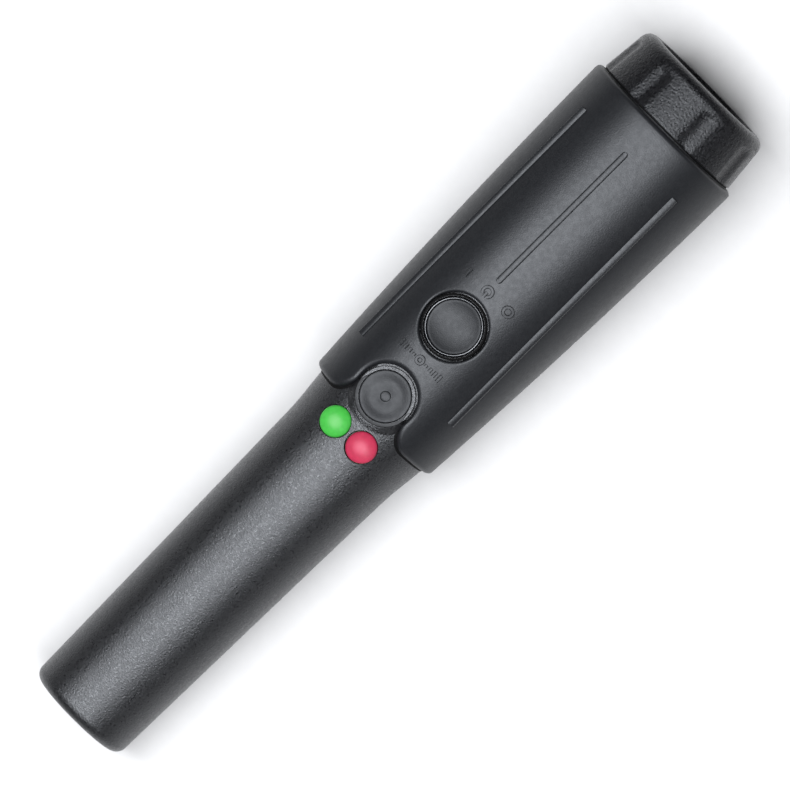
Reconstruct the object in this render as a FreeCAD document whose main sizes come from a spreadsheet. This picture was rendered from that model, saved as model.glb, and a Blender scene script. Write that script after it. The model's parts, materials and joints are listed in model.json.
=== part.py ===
import FreeCAD, Part
import math
import os

import Sketcher
from FreeCAD import Placement, Rotation, Vector

# Pinpointer probe: a hand-held metal detector that lies on its back.
#
# Every piece is drawn in the probe's own frame: X runs along the long axis
# towards the sensing tip, Z runs up through the buttons, and the origin is
# halfway along the axis.  LAY then lowers the tip until the flat under the
# tapered rubber grip lies on the ground.
#
# A "station" is a distance along the axis from the butt face.

NEW_NAME = "pinpointer_probe"
SHEET_NAME = "Dimensions"
FULL_TURN = 360
TINY = 1e-9

DIMENSIONS = [
    # whole tool
    ("overall_length", 241.0, "butt face to probe tip"),
    # probe case, outside
    ("tip_radius", 15.78, "tube radius at the tip"),
    ("tip_round", 3.0, "edge radius of the tip"),
    ("tip_dome", 0.45, "rise of the domed tip face"),
    ("tube_radius", 17.82, "tube radius where the flare starts"),
    ("flare_start", 139.0, "station where the tube starts to flare"),
    ("flare_end", 127.1, "station where the flare meets the grip core"),
    ("flare_radius", 19.1, "radius at the end of the flare"),
    ("flare_blend", 3.0, "length each side over which the flare starts softly"),
    ("core_front", 121.7, "station of the front of the barrel-shaped core"),
    ("case_shoulder", 15.8, "station of the shoulder that the cap closes on"),
    ("neck_end", 7.2, "station of the open end of the neck"),
    ("neck_radius", 21.3, "outside radius of the neck that carries the cap"),
    # probe case, inside
    ("neck_bore", 19.6, "bore radius at the open end"),
    ("grip_bore_front", 110.0, "station where the grip bore starts to narrow"),
    ("grip_bore", 17.7, "bore radius at that station"),
    ("tube_bore", 15.95, "bore radius at the start of the tube"),
    ("tip_bore", 13.9, "bore radius at the tip"),
    ("tip_wall", 2.3, "thickness of the tip's end wall"),
    # rubber grip
    ("barrel_curve", 2200.0, "radius of the grip's long barrel curve"),
    ("barrel_crest", -2.4, "station where the barrel curve is level"),
    ("crest_radius", 25.1, "grip radius at that station"),
    ("sleeve_rear", 15.95, "station of the grip's rear edge"),
    ("sleeve_front", 127.1, "station of the grip's front edge"),
    ("sleeve_front_radius", 21.42, "grip radius at its front edge"),
    ("sleeve_wall", 2.0, "thickness of the rubber"),
    ("sleeve_gap", 0.03, "bond line between rubber and case"),
    ("front_round", 2.0, "edge radius at the front of the grip"),
    ("rear_round", 1.3, "edge radius at the rear of the grip"),
    ("flat_depth", 0.5, "how far the flat underside cuts in at its ends"),
    ("flat_rear", 18.4, "station of the rear end that sets the flat"),
    ("scallop_radius", 8.8, "cut-out of the grip round the light key"),
    ("lobe_round", 6.6, "plan radius of the two front lobes"),
    ("rib_width", 1.9, "width of a raised rib"),
    ("rib_height", 0.55, "how far a rib stands proud"),
    ("rib_rear", 26.8, "station where the ribs start"),
    ("top_rib_front", 75.9, "station where the top rib stops"),
    ("side_rib_front", 112.2, "station where the side ribs stop"),
    ("side_rib_angle", 47.5, "angle of a side rib from the top"),
    # keys
    ("power_station", 92.55, "station of the power key"),
    ("power_hole", 16.7, "diameter of the power key's well"),
    ("power_collar", 18.0, "diameter of the wall round the well"),
    ("power_collar_top", 22.0, "height of that wall above the axis"),
    ("power_window", 18.8, "diameter of the hole in the grip"),
    ("power_top", 21.75, "height of the power key's rim"),
    ("light_station", 118.9, "station of the light key"),
    ("light_hole", 14.6, "diameter of the light key's well"),
    ("light_collar", 16.5, "diameter of the wall round the well"),
    ("light_collar_top", 19.4, "height of that wall above the axis"),
    ("light_moat", 0.85, "depth of the groove behind that wall"),
    ("light_top", 19.45, "height of the light key's rim"),
    ("collar_foot", 14.8, "height of the lower end of both wells"),
    ("key_clearance", 0.12, "gap round a key"),
    ("key_flange", 0.9, "thickness of the flange that holds a key in"),
    ("key_dish", 0.7, "depth of a key's dished face"),
    ("key_travel", 0.6, "how far a key is pressed"),
    # lenses
    ("lens_station", 133.3, "station of the two lenses"),
    ("lens_pitch", 9.85, "distance between the lenses"),
    ("lens_diameter", 8.9, "diameter of a lens"),
    ("lens_gap", 0.15, "gap round a lens"),
    ("lens_foot", 14.9, "height of a lens's lower face"),
    ("lens_rim", 17.25, "height of a lens's rim"),
    ("lens_dome", 1.6, "rise of a lens's dome"),
    # butt cap
    ("cap_front", 15.3, "station of the cap's open edge"),
    ("cap_front_radius", 23.3, "cap radius at the open edge"),
    ("cap_rear_radius", 22.1, "cap radius at the butt face"),
    ("cap_round", 3.2, "edge radius at the butt"),
    ("cap_bore", 21.4, "bore radius that runs on the neck"),
    ("cap_floor", 3.0, "station of the inside of the cap's end wall"),
    ("cap_window", 14.2, "radius of the torch window in the cap"),
    ("cap_lip", 16.6, "radius of the shallow recess round the window"),
    ("cap_lip_depth", 0.8, "depth of that recess"),
    ("flute_count", 8, "grip flutes round the cap"),
    ("flute_width", 3.8, "arc length that a flute takes up on the cap"),
    ("flute_depth", 0.6, "depth of a flute"),
    ("flute_end", 3.4, "station where the flutes stop"),
    # torch in the cap
    ("torch_radius", 17.6, "outside radius of the torch housing"),
    ("torch_bore", 16.4, "inside radius of the torch housing"),
    ("torch_flange", 19.0, "radius of the housing's flange"),
    ("torch_rear", 12.4, "station of the housing's open inner end"),
    ("flange_wall", 1.2, "thickness of the housing's flange"),
    ("ring_wall", 1.0, "thickness of the snap ring behind the flange"),
    ("fit_gap", 0.06, "running gap between turned pieces"),
    # battery, a standard nine volt block
    ("battery_length", 46.4, "battery body along the axis"),
    ("battery_width", 26.5, "battery across"),
    ("battery_height", 17.5, "battery up"),
    ("battery_rear", 14.6, "station of the battery's flat end"),
    ("battery_low", -10.1, "height of the battery's underside"),
    ("terminal_pitch", 12.7, "distance between the battery's terminals"),
    ("terminal_height", 2.1, "height of a terminal"),
    ("stud_radius", 2.85, "radius of the small terminal"),
    ("socket_radius", 4.2, "radius of the large terminal"),
    # chassis and circuit board
    ("chassis_half", 15.0, "half width of the battery cradle"),
    ("cradle_wall", 1.4, "thickness of the cradle"),
    ("cradle_low", -12.0, "height of the cradle's underside"),
    ("cradle_high", 4.0, "height of the cradle's rails"),
    ("cradle_rear", 12.9, "station of the cradle's open end"),
    ("bulkhead", 67.5, "station of the bulkhead ahead of the battery"),
    ("bulkhead_wall", 2.0, "thickness of the bulkhead"),
    ("tray_half", 13.0, "half width of the front tray"),
    ("tray_low", 3.6, "height of the tray's underside"),
    ("tray_wall", 2.0, "thickness of the tray"),
    ("tray_front", 146.5, "station of the tray's front end"),
    ("board_low", 7.2, "height of the board's underside"),
    ("board_wall", 1.6, "thickness of the board"),
    ("board_half", 12.3, "half width of the board"),
    ("board_rear", 70.5, "station of the board's rear edge"),
    ("board_front", 144.5, "station of the board's front edge"),
    ("screw_inset", 4.0, "screw to board end"),
    ("screw_side", 10.0, "screw to centre line"),
    ("screw_shank", 2.0, "screw diameter"),
    ("screw_head", 3.8, "screw head diameter"),
    # vibration motor and sounder
    ("motor_rear", 108.5, "station of the motor's rear end"),
    ("motor_length", 17.0, "length of the motor"),
    ("motor_radius", 3.8, "radius of the motor"),
    ("motor_height", -1.4, "height of the motor's axis"),
    ("shaft_radius", 0.75, "radius of the motor shaft"),
    ("weight_radius", 4.2, "radius of the off-centre weight"),
    ("weight_length", 4.5, "length of the weight"),
    ("sounder_station", 82.5, "station of the sounder"),
    ("sounder_radius", 8.0, "radius of the sounder"),
    ("sounder_height", 5.4, "height of the sounder"),
    # search coil
    ("rod_radius", 4.5, "radius of the ferrite rod"),
    ("rod_rear", 153.5, "station of the rod's rear end"),
    ("rod_length", 80.0, "length of the rod"),
    ("former_radius", 5.9, "outside radius of the coil former"),
    ("former_gap", 0.1, "gap between rod and former"),
    ("former_rear", 155.5, "station of the former's rear end"),
    ("former_length", 76.0, "length of the former"),
    ("former_flange", 1.4, "thickness of the former's flanges"),
    ("winding_radius", 9.2, "outside radius of the middle winding"),
    ("pad_length", 5.0, "length of the foam pad at the tip"),
    ("lead_radius", 0.6, "radius of an insulated lead"),
]


class Size:
    """A number together with the sheet expression that gives it."""

    def __init__(self, value, text):
        self.value = float(value)
        self.text = text

    def __add__(self, other):
        other = as_size(other)
        return Size(self.value + other.value, "(%s + %s)" % (self.text, other.text))

    def __sub__(self, other):
        other = as_size(other)
        return Size(self.value - other.value, "(%s - %s)" % (self.text, other.text))

    def __mul__(self, other):
        other = as_size(other)
        return Size(self.value * other.value, "(%s * %s)" % (self.text, other.text))

    def __truediv__(self, other):
        other = as_size(other)
        return Size(self.value / other.value, "(%s / %s)" % (self.text, other.text))

    def __neg__(self):
        return Size(-self.value, "(-1 * %s)" % self.text)

    def __radd__(self, other):
        return as_size(other) + self

    def __rsub__(self, other):
        return as_size(other) - self

    def __rmul__(self, other):
        return as_size(other) * self


def as_size(number):
    """A plain number becomes a Size, and a Size stays as it is."""
    if isinstance(number, Size):
        return number
    return Size(number, "(%.6f)" % number)


def root(size):
    """Square root of a Size."""
    return Size(math.sqrt(size.value), "sqrt(%s)" % size.text)


def dome(radius, rise):
    """Curvature of a dome of a given edge radius and rise, whose centre is on the axis."""
    radius = as_size(radius)
    rise = as_size(rise)
    return (radius * radius + rise * rise) / (rise * 2)


class Named:
    """Holds one Size per sheet alias."""


doc = FreeCAD.newDocument(NEW_NAME)
sheet = doc.addObject("Spreadsheet::Sheet", SHEET_NAME)
dim = Named()
for row, (alias, number, note) in enumerate(DIMENSIONS, start=1):
    sheet.set("A%d" % row, note)
    sheet.set("B%d" % row, str(number))
    sheet.setAlias("B%d" % row, alias)
    setattr(dim, alias, Size(number, "%s.%s" % (SHEET_NAME, alias)))
doc.recompute()


def along(station):
    """X of a station, in the probe's own frame."""
    return station - dim.overall_length / 2


def barrel(station, inset=0):
    """Radius of the grip's barrel curve at a station, or of a curve inset from it."""
    run = station - dim.barrel_crest
    curve = dim.barrel_curve - inset
    return dim.crest_radius - dim.barrel_curve + root(curve * curve - run * run)


# The flat underside passes this far below the axis at each end of the barrel.
flat_rear_depth = barrel(dim.flat_rear) - dim.flat_depth
flat_front_depth = barrel(dim.core_front) - dim.flat_depth
flat_rise = (flat_rear_depth - flat_front_depth) / (dim.core_front - dim.flat_rear)
TILT = math.atan(flat_rise.value)
flat_at_middle = flat_rear_depth.value - flat_rise.value * (
    dim.overall_length.value / 2 - dim.flat_rear.value
)
AXIS_HEIGHT = flat_at_middle * math.cos(TILT)


half_length = dim.overall_length.value / 2
dome_radius = dome(dim.tip_radius - dim.tip_round, dim.tip_dome).value
tip_reach = (half_length - dome_radius) * math.cos(TILT) + dome_radius
butt_inner_x = half_length - dim.cap_round.value
butt_inner_z = dim.cap_rear_radius.value - dim.cap_round.value
butt_reach = (
    butt_inner_x * math.cos(TILT) + butt_inner_z * math.sin(TILT) + dim.cap_round.value
)
CENTRING = (butt_reach - tip_reach) / 2
LAY = Placement(
    Vector(CENTRING, 0, AXIS_HEIGHT),
    Rotation(Vector(0, 1, 0), math.degrees(TILT)),
)

pieces = []


def place_at(x=0, y=0, z=0):
    """Placement of a piece whose own origin is at a point of the probe's frame."""
    here = Vector(as_size(x).value, as_size(y).value, as_size(z).value)
    return LAY.multiply(Placement(here, Rotation()))


# ---------------------------------------------------------------- tools


def new_body(label, place=LAY):
    """An empty body for one piece."""
    body = doc.addObject("PartDesign::Body", label)
    body.Label = label
    body.Placement = place
    pieces.append(body)
    return body


def keep(piece, label, place=LAY):
    """Name and place a finished Part object that is one whole piece."""
    if piece.TypeId in ("Part::Box", "Part::Cylinder"):
        piece = group(label + "_solid", piece)
    piece.Label = label
    piece.Placement = place
    pieces.append(piece)
    return piece


def new_sketch(body, role, offset=0, spin=0):
    """A sketch on one of the body's origin planes, moved along its normal or spun about X."""
    plane = next(item for item in body.Origin.OriginFeatures if item.Role == role)
    sketch = body.newObject("Sketcher::SketchObject", "Sketch")
    sketch.AttachmentSupport = (plane, [""])
    sketch.MapMode = "FlatFace"
    offset = as_size(offset)
    sketch.AttachmentOffset = Placement(
        Vector(0, 0, offset.value), Rotation(Vector(1, 0, 0), as_size(spin).value)
    )
    if abs(offset.value) > TINY:
        sketch.setExpression("AttachmentOffset.Base.z", offset.text)
    return sketch


def hold(sketch, edge, end, corner):
    """Tie one end of an edge to its sheet-driven place."""
    for kind, axis, size in (("DistanceX", -2, corner[0]), ("DistanceY", -1, corner[1])):
        size = as_size(size)
        if abs(size.value) < TINY:
            sketch.addConstraint(Sketcher.Constraint("PointOnObject", edge, end, axis))
            continue
        index = sketch.addConstraint(
            Sketcher.Constraint(kind, -1, 1, edge, end, size.value)
        )
        sketch.setExpression("Constraints[%d]" % index, size.text)


def outline(sketch, corners):
    """Close an outline.  A corner is (x, y), or (x, y, r) when the edge that leaves it
    is an arc of radius r; a negative r bulges to the right of the way round."""
    count = len(corners)
    spots = [Vector(as_size(c[0]).value, as_size(c[1]).value, 0) for c in corners]
    for index, corner in enumerate(corners):
        start = spots[index]
        finish = spots[(index + 1) % count]
        if len(corner) == 2:
            sketch.addGeometry(Part.LineSegment(start, finish))
            continue
        radius = as_size(corner[2]).value
        sketch.addGeometry(bowed_edge(start, finish, radius))
    for index, corner in enumerate(corners):
        before = (index - 1) % count
        first = end_of(sketch, index, spots[index])
        last = end_of(sketch, before, spots[index])
        sketch.addConstraint(
            Sketcher.Constraint("Coincident", before, last, index, first)
        )
        hold(sketch, index, first, corner)
    for index, corner in enumerate(corners):
        if len(corner) == 3:
            radius = as_size(corner[2])
            size = radius if radius.value > 0 else -radius
            place = sketch.addConstraint(
                Sketcher.Constraint("Radius", index, size.value)
            )
            sketch.setExpression("Constraints[%d]" % place, size.text)


def bowed_edge(start, finish, radius):
    """An arc shorter than a half circle that bulges left of the way from start to finish,
    or right of it if the radius is negative."""
    chord = finish - start
    left = Vector(-chord.y, chord.x, 0).normalize()
    bend = abs(radius)
    depth = math.sqrt(bend * bend - (chord.Length / 2) ** 2)
    centre = (start + finish) * 0.5 - left * math.copysign(depth, radius)
    first, last = (finish, start) if radius > 0 else (start, finish)
    low = math.atan2(first.y - centre.y, first.x - centre.x)
    high = math.atan2(last.y - centre.y, last.x - centre.x)
    if high < low:
        high += 2 * math.pi
    circle = Part.Circle(centre, Vector(0, 0, 1), bend)
    return Part.ArcOfCircle(circle, low, high)


def end_of(sketch, edge, spot):
    """1 if the edge starts at the spot, 2 if it ends there."""
    geometry = sketch.Geometry[edge]
    near = (geometry.StartPoint - spot).Length < (geometry.EndPoint - spot).Length
    return 1 if near else 2


def round_hole(sketch, x, y, diameter):
    """A full circle in a sketch."""
    centre = Vector(as_size(x).value, as_size(y).value, 0)
    radius = as_size(diameter) / 2
    edge = sketch.addGeometry(Part.Circle(centre, Vector(0, 0, 1), radius.value))
    hold(sketch, edge, 3, (x, y))
    index = sketch.addConstraint(Sketcher.Constraint("Radius", edge, radius.value))
    sketch.setExpression("Constraints[%d]" % index, radius.text)


def box_outline(sketch, low_x, low_y, high_x, high_y):
    """A rectangle in a sketch."""
    outline(sketch, [(low_x, low_y), (high_x, low_y), (high_x, high_y), (low_x, high_y)])


def finish(body, feature):
    """Make a feature the body's last one and bring the model up to date."""
    body.Tip = feature
    doc.recompute()
    if "Invalid" in feature.State:
        raise RuntimeError("%s: %s" % (body.Label, feature.getStatusString()))
    return feature


def revolve(body, corners, axis="H_Axis", kind="Revolution", spin=0, angle=FULL_TURN):
    """Turn an outline in the XZ plane about a sketch axis."""
    sketch = new_sketch(body, "XZ_Plane", spin=spin)
    outline(sketch, corners)
    turned = body.newObject("PartDesign::" + kind, kind)
    turned.Profile = sketch
    turned.ReferenceAxis = (sketch, [axis])
    turned.Angle = angle
    turned.Midplane = angle != FULL_TURN
    return finish(body, turned)


def pad(body, draw, low, high, role="XY_Plane", normal=1):
    """Raise what draw(sketch) draws from one height to another along a plane's normal."""
    sketch = new_sketch(body, role, offset=as_size(low) * normal)
    draw(sketch)
    raised = body.newObject("PartDesign::Pad", "Pad")
    raised.Profile = sketch
    length = as_size(high) - low
    raised.Length = length.value
    raised.setExpression("Length", length.text)
    raised.Reversed = normal < 0
    return finish(body, raised)


def pocket(body, draw, low, high, role="XY_Plane", normal=1):
    """Cut what draw(sketch) draws, between two heights along a plane's normal."""
    before = body.Shape.Volume
    sketch = new_sketch(body, role, offset=as_size(low) * normal)
    draw(sketch)
    cut = body.newObject("PartDesign::Pocket", "Pocket")
    cut.Profile = sketch
    length = as_size(high) - low
    cut.Length = length.value
    cut.setExpression("Length", length.text)
    cut.Reversed = normal > 0
    finish(body, cut)
    if body.Shape.Volume > before - TINY:
        raise RuntimeError("a pocket in %s cuts nothing" % body.Label)
    return cut


def soften(body, radius, wanted):
    """Round the edges of the body's last feature for which wanted(edge) is true."""
    tip = body.Tip
    names = []
    for number, edge in enumerate(tip.Shape.Edges, start=1):
        if wanted(edge):
            names.append("Edge%d" % number)
    if not names:
        raise RuntimeError("no edge to round in %s" % body.Label)
    fillet = body.newObject("PartDesign::Fillet", "Fillet")
    fillet.Base = (tip, names)
    radius = as_size(radius)
    fillet.Radius = radius.value
    fillet.setExpression("Radius", radius.text)
    return finish(body, fillet)


def at_height(z, slack=0.02):
    """Test for edges that lie level at a height in the body's own frame."""
    level = as_size(z).value

    def wanted(edge):
        box = edge.BoundBox
        return abs(box.ZMin - level) < slack and abs(box.ZMax - level) < slack

    return wanted


def turned_piece(label, corners, place=LAY, axis="H_Axis"):
    """A piece turned in one go."""
    body = new_body(label, place)
    revolve(body, corners, axis)
    return body


def block(name, x, y, z):
    """A box between pairs of sheet-driven limits."""
    box = doc.addObject("Part::Box", name)
    for prop, place, (low, high) in (
        ("Length", "x", x),
        ("Width", "y", y),
        ("Height", "z", z),
    ):
        low = as_size(low)
        size = as_size(high) - low
        setattr(box, prop, size.value)
        box.setExpression(prop, size.text)
        setattr(box.Placement.Base, place, low.value)
        box.setExpression("Placement.Base." + place, low.text)
    return box


def rod(name, radius, low, high, side=(0, 0), way="z"):
    """A cylinder along X or Z between two sheet-driven limits.
    side is its place in the other two directions."""
    cylinder = doc.addObject("Part::Cylinder", name)
    radius = as_size(radius)
    low = as_size(low)
    length = as_size(high) - low
    cylinder.Radius = radius.value
    cylinder.setExpression("Radius", radius.text)
    cylinder.Height = length.value
    cylinder.setExpression("Height", length.text)
    if way == "x":
        turn = Rotation(Vector(0, 1, 0), 90)
        spots = (("x", low), ("y", as_size(side[0])), ("z", as_size(side[1])))
    else:
        turn = Rotation()
        spots = (("x", as_size(side[0])), ("y", as_size(side[1])), ("z", low))
    cylinder.Placement = Placement(Vector(*[spot.value for _, spot in spots]), turn)
    for place, spot in spots:
        cylinder.setExpression("Placement.Base." + place, spot.text)
    return cylinder


def joined(name, *solids):
    """Several Part objects as one."""
    both = doc.addObject("Part::MultiFuse", name)
    both.Shapes = list(solids)
    return both


def less(name, base, tool):
    """One Part object with another cut out of it."""
    cut = doc.addObject("Part::Cut", name)
    cut.Base = base
    cut.Tool = tool
    return cut


def group(name, *solids):
    """Separate solids that share one name."""
    several = doc.addObject("Part::Compound", name)
    several.Links = list(solids)
    return several


def lead(start, *points):
    """An insulated lead: straight runs between points, joined by tangent arcs."""
    radius = dim.lead_radius.value
    spots = [Vector(*[as_size(v).value for v in spot]) for spot in (start,) + points]
    edges = []
    begin = spots[0]
    for before, corner, after in zip(spots, spots[1:], spots[2:]):
        back = (before - corner).normalize()
        ahead = (after - corner).normalize()
        half_turn = (math.pi - back.getAngle(ahead)) / 2
        shorter = min((before - corner).Length, (after - corner).Length)
        cut = 0.45 * shorter
        bend = cut / math.tan(half_turn)
        middle_way = (back + ahead).normalize()
        middle = corner + middle_way * (bend / math.cos(half_turn) - bend)
        edges.append(Part.LineSegment(begin, corner + back * cut).toShape())
        edges.append(Part.Arc(corner + back * cut, middle, corner + ahead * cut).toShape())
        begin = corner + ahead * cut
    edges.append(Part.LineSegment(begin, spots[-1]).toShape())
    path = Part.Wire(edges)
    ring = Part.Wire([Part.Circle(spots[0], spots[1] - spots[0], radius).toShape()])
    tube = path.makePipeShell([ring], True, True)
    wanted = math.pi * radius * radius * path.Length
    if abs(tube.Volume - wanted) > 0.02 * wanted:
        raise RuntimeError("a lead's volume is not its section times its length")
    return tube


# ---------------------------------------------------------------- probe case

SPARE = 1.0
light_x = along(dim.light_station)
power_x = along(dim.power_station)


def tube_bore_at(station):
    """Radius of the tapered bore of the sensing tube."""
    inner_end = dim.overall_length - dim.tip_wall
    share = (station - dim.flare_start) / (inner_end - dim.flare_start)
    return dim.tube_bore - (dim.tube_bore - dim.tip_bore) * share


def make_probe_case():
    """One moulded shell: sensing tube, flare, grip core and neck, open at the butt."""
    body = new_body("probe_case")
    inset = dim.sleeve_wall
    tip_edge = dim.overall_length - dim.tip_dome
    tip_face = dim.tip_radius - dim.tip_round
    flare_run = dim.flare_start - dim.flare_end
    flare_slope = (dim.flare_radius - dim.tube_radius) / flare_run
    tube_run = tip_edge - dim.tip_round - dim.flare_start
    tube_slope = (dim.tube_radius - dim.tip_radius) / tube_run
    revolve(
        body,
        [
            (along(dim.neck_end), dim.neck_radius),
            (along(dim.case_shoulder), dim.neck_radius),
            (
                along(dim.case_shoulder),
                barrel(dim.case_shoulder, inset),
                dim.barrel_curve - inset,
            ),
            (along(dim.core_front), barrel(dim.core_front, inset)),
            (along(dim.flare_end), dim.flare_radius),
            (
                along(dim.flare_start - dim.flare_blend),
                dim.tube_radius + flare_slope * dim.flare_blend,
                -(dim.flare_blend * 2 / (flare_slope - tube_slope)),
            ),
            (
                along(dim.flare_start + dim.flare_blend),
                dim.tube_radius - tube_slope * dim.flare_blend,
            ),
            (along(tip_edge - dim.tip_round), dim.tip_radius, dim.tip_round),
            (along(tip_edge), tip_face, dome(tip_face, dim.tip_dome)),
            (along(dim.overall_length), 0),
            (along(dim.overall_length - dim.tip_wall), 0),
            (along(dim.overall_length - dim.tip_wall), dim.tip_bore),
            (along(dim.flare_start), dim.tube_bore),
            (along(dim.grip_bore_front), dim.grip_bore),
            (along(dim.neck_end), dim.neck_bore),
        ],
    )
    key_well(body, power_x, dim.power_collar, dim.power_collar_top, dim.power_hole, 0.45)
    pocket(
        body,
        groove_outline,
        dim.light_collar_top - dim.light_moat,
        dim.crest_radius,
    )
    key_well(body, light_x, dim.light_collar, dim.light_collar_top, dim.light_hole, 0.2)
    for side in (-1, 1):
        pocket(
            body,
            lambda sketch: round_hole(
                sketch,
                along(dim.lens_station),
                dim.lens_pitch / 2 * side,
                dim.lens_diameter + dim.lens_gap * 2,
            ),
            dim.lens_foot - SPARE,
            dim.crest_radius,
        )
    return body


def groove_outline(sketch):
    """Half disc behind the light key, as wide as the grip's scallop."""
    reach = dim.scallop_radius
    outline(
        sketch,
        [
            (light_x, reach, -reach),
            (light_x - reach, 0, -reach),
            (light_x, -reach),
        ],
    )


def key_well(body, x, collar, collar_top, hole, edge_round):
    """A round wall through the case that a key slides in."""
    pad(body, lambda s: round_hole(s, x, 0, collar), dim.collar_foot, collar_top)
    soften(body, edge_round, at_height(collar_top))
    pocket(
        body,
        lambda s: round_hole(s, x, 0, hole),
        dim.collar_foot - SPARE,
        dim.crest_radius,
    )


# ---------------------------------------------------------------- rubber grip


def make_grip_sleeve():
    """The rubber grip moulded over the case, with ribs, key openings and a flat back."""
    body = new_body("grip_sleeve")
    wall = dim.sleeve_wall
    gap = dim.sleeve_gap
    rear_out = dim.sleeve_rear + dim.rear_round
    revolve(
        body,
        [
            (along(dim.sleeve_rear), barrel(dim.sleeve_rear, wall) + gap),
            (along(dim.sleeve_rear), barrel(rear_out) - dim.rear_round, dim.rear_round),
            (along(rear_out), barrel(rear_out), dim.barrel_curve),
            (along(dim.core_front), barrel(dim.core_front)),
            (
                along(dim.sleeve_front) - dim.front_round,
                dim.sleeve_front_radius,
                dim.front_round,
            ),
            (along(dim.sleeve_front), dim.sleeve_front_radius - dim.front_round),
            (along(dim.sleeve_front), dim.flare_radius + gap),
            (
                along(dim.core_front),
                barrel(dim.core_front, wall) + gap,
                -(dim.barrel_curve - wall),
            ),
        ],
    )
    cut_scallop(body)
    pocket(
        body,
        lambda s: round_hole(s, power_x, 0, dim.power_window),
        dim.collar_foot,
        dim.crest_radius + SPARE,
    )
    soften(body, 0.7, window_edge)
    for angle, front in (
        (0, dim.top_rib_front),
        (dim.side_rib_angle, dim.side_rib_front),
        (-dim.side_rib_angle, dim.side_rib_front),
    ):
        add_rib(body, angle, front)
    cut_flat(body)
    return body


def cut_scallop(body):
    """The front edge sweeps back between two lobes and round the light key."""
    lobe_x = along(dim.sleeve_front) - dim.lobe_round
    spread = dim.scallop_radius + dim.lobe_round
    lobe_y = root(spread * spread - (lobe_x - light_x) * (lobe_x - light_x))
    share = dim.scallop_radius / spread
    meet_x = light_x + (lobe_x - light_x) * share
    meet_y = lobe_y * share
    front = along(dim.sleeve_front)
    corners = [
        (front + SPARE, lobe_y),
        (front, lobe_y, dim.lobe_round),
        (meet_x, meet_y, -dim.scallop_radius),
        (light_x - dim.scallop_radius, 0, -dim.scallop_radius),
        (meet_x, -meet_y, dim.lobe_round),
        (front, -lobe_y),
        (front + SPARE, -lobe_y),
    ]
    pocket(
        body,
        lambda sketch: outline(sketch, corners),
        dim.cradle_high,
        dim.crest_radius + SPARE,
    )


def window_edge(edge):
    """Edges where the power key's window meets the grip's outer skin."""
    half = dim.power_window.value / 2
    for share in (0.1, 0.35, 0.5, 0.65, 0.9):
        first, last = edge.ParameterRange
        spot = edge.valueAt(first + (last - first) * share)
        station = spot.x + dim.overall_length.value / 2
        out = math.hypot(spot.y, spot.z)
        in_window = abs(math.hypot(spot.x - power_x.value, spot.y) - half) < 0.05
        if spot.z < 2 or not in_window or out < barrel(station).value - 0.3:
            return False
    return True


def add_rib(body, angle, front):
    """A raised rib that follows the barrel curve at an angle from the top."""
    rear = dim.rib_rear
    top = dim.rib_height
    root_depth = dim.sleeve_wall / 4
    sweep = math.degrees(dim.rib_width.value / dim.crest_radius.value)
    revolve(
        body,
        [
            (along(rear), barrel(rear) - root_depth),
            (along(rear), barrel(rear) + top, dim.barrel_curve + top),
            (along(front), barrel(front) + top),
            (along(front), barrel(front) - root_depth, -(dim.barrel_curve - root_depth)),
        ],
        spin=angle,
        angle=sweep,
    )

    def rib_end(edge):
        if edge.Length > dim.rib_height.value * 1.5:
            return False
        spot = edge.valueAt(sum(edge.ParameterRange) / 2)
        ends = (along(rear).value, along(front).value)
        close = min(abs(spot.x - end) for end in ends) < 0.1
        turned = math.degrees(math.atan2(spot.y, spot.z))
        return close and abs(turned + as_size(angle).value) < sweep

    soften(body, dim.rib_width * 0.42, rib_end)


def cut_flat(body):
    """The flat underside that keeps the round tool from rolling."""
    front = dim.flare_start
    front_z = -(flat_rear_depth - flat_rise * (front - dim.flat_rear))
    rear_z = -(flat_rear_depth + flat_rise * dim.flat_rear)
    low = -dim.overall_length
    pocket(
        body,
        lambda s: outline(
            s,
            [
                (along(0), rear_z),
                (along(0), low),
                (along(front), low),
                (along(front), front_z),
            ],
        ),
        -dim.crest_radius,
        dim.crest_radius,
        role="XZ_Plane",
    )


# ---------------------------------------------------------------- butt cap and torch


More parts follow.
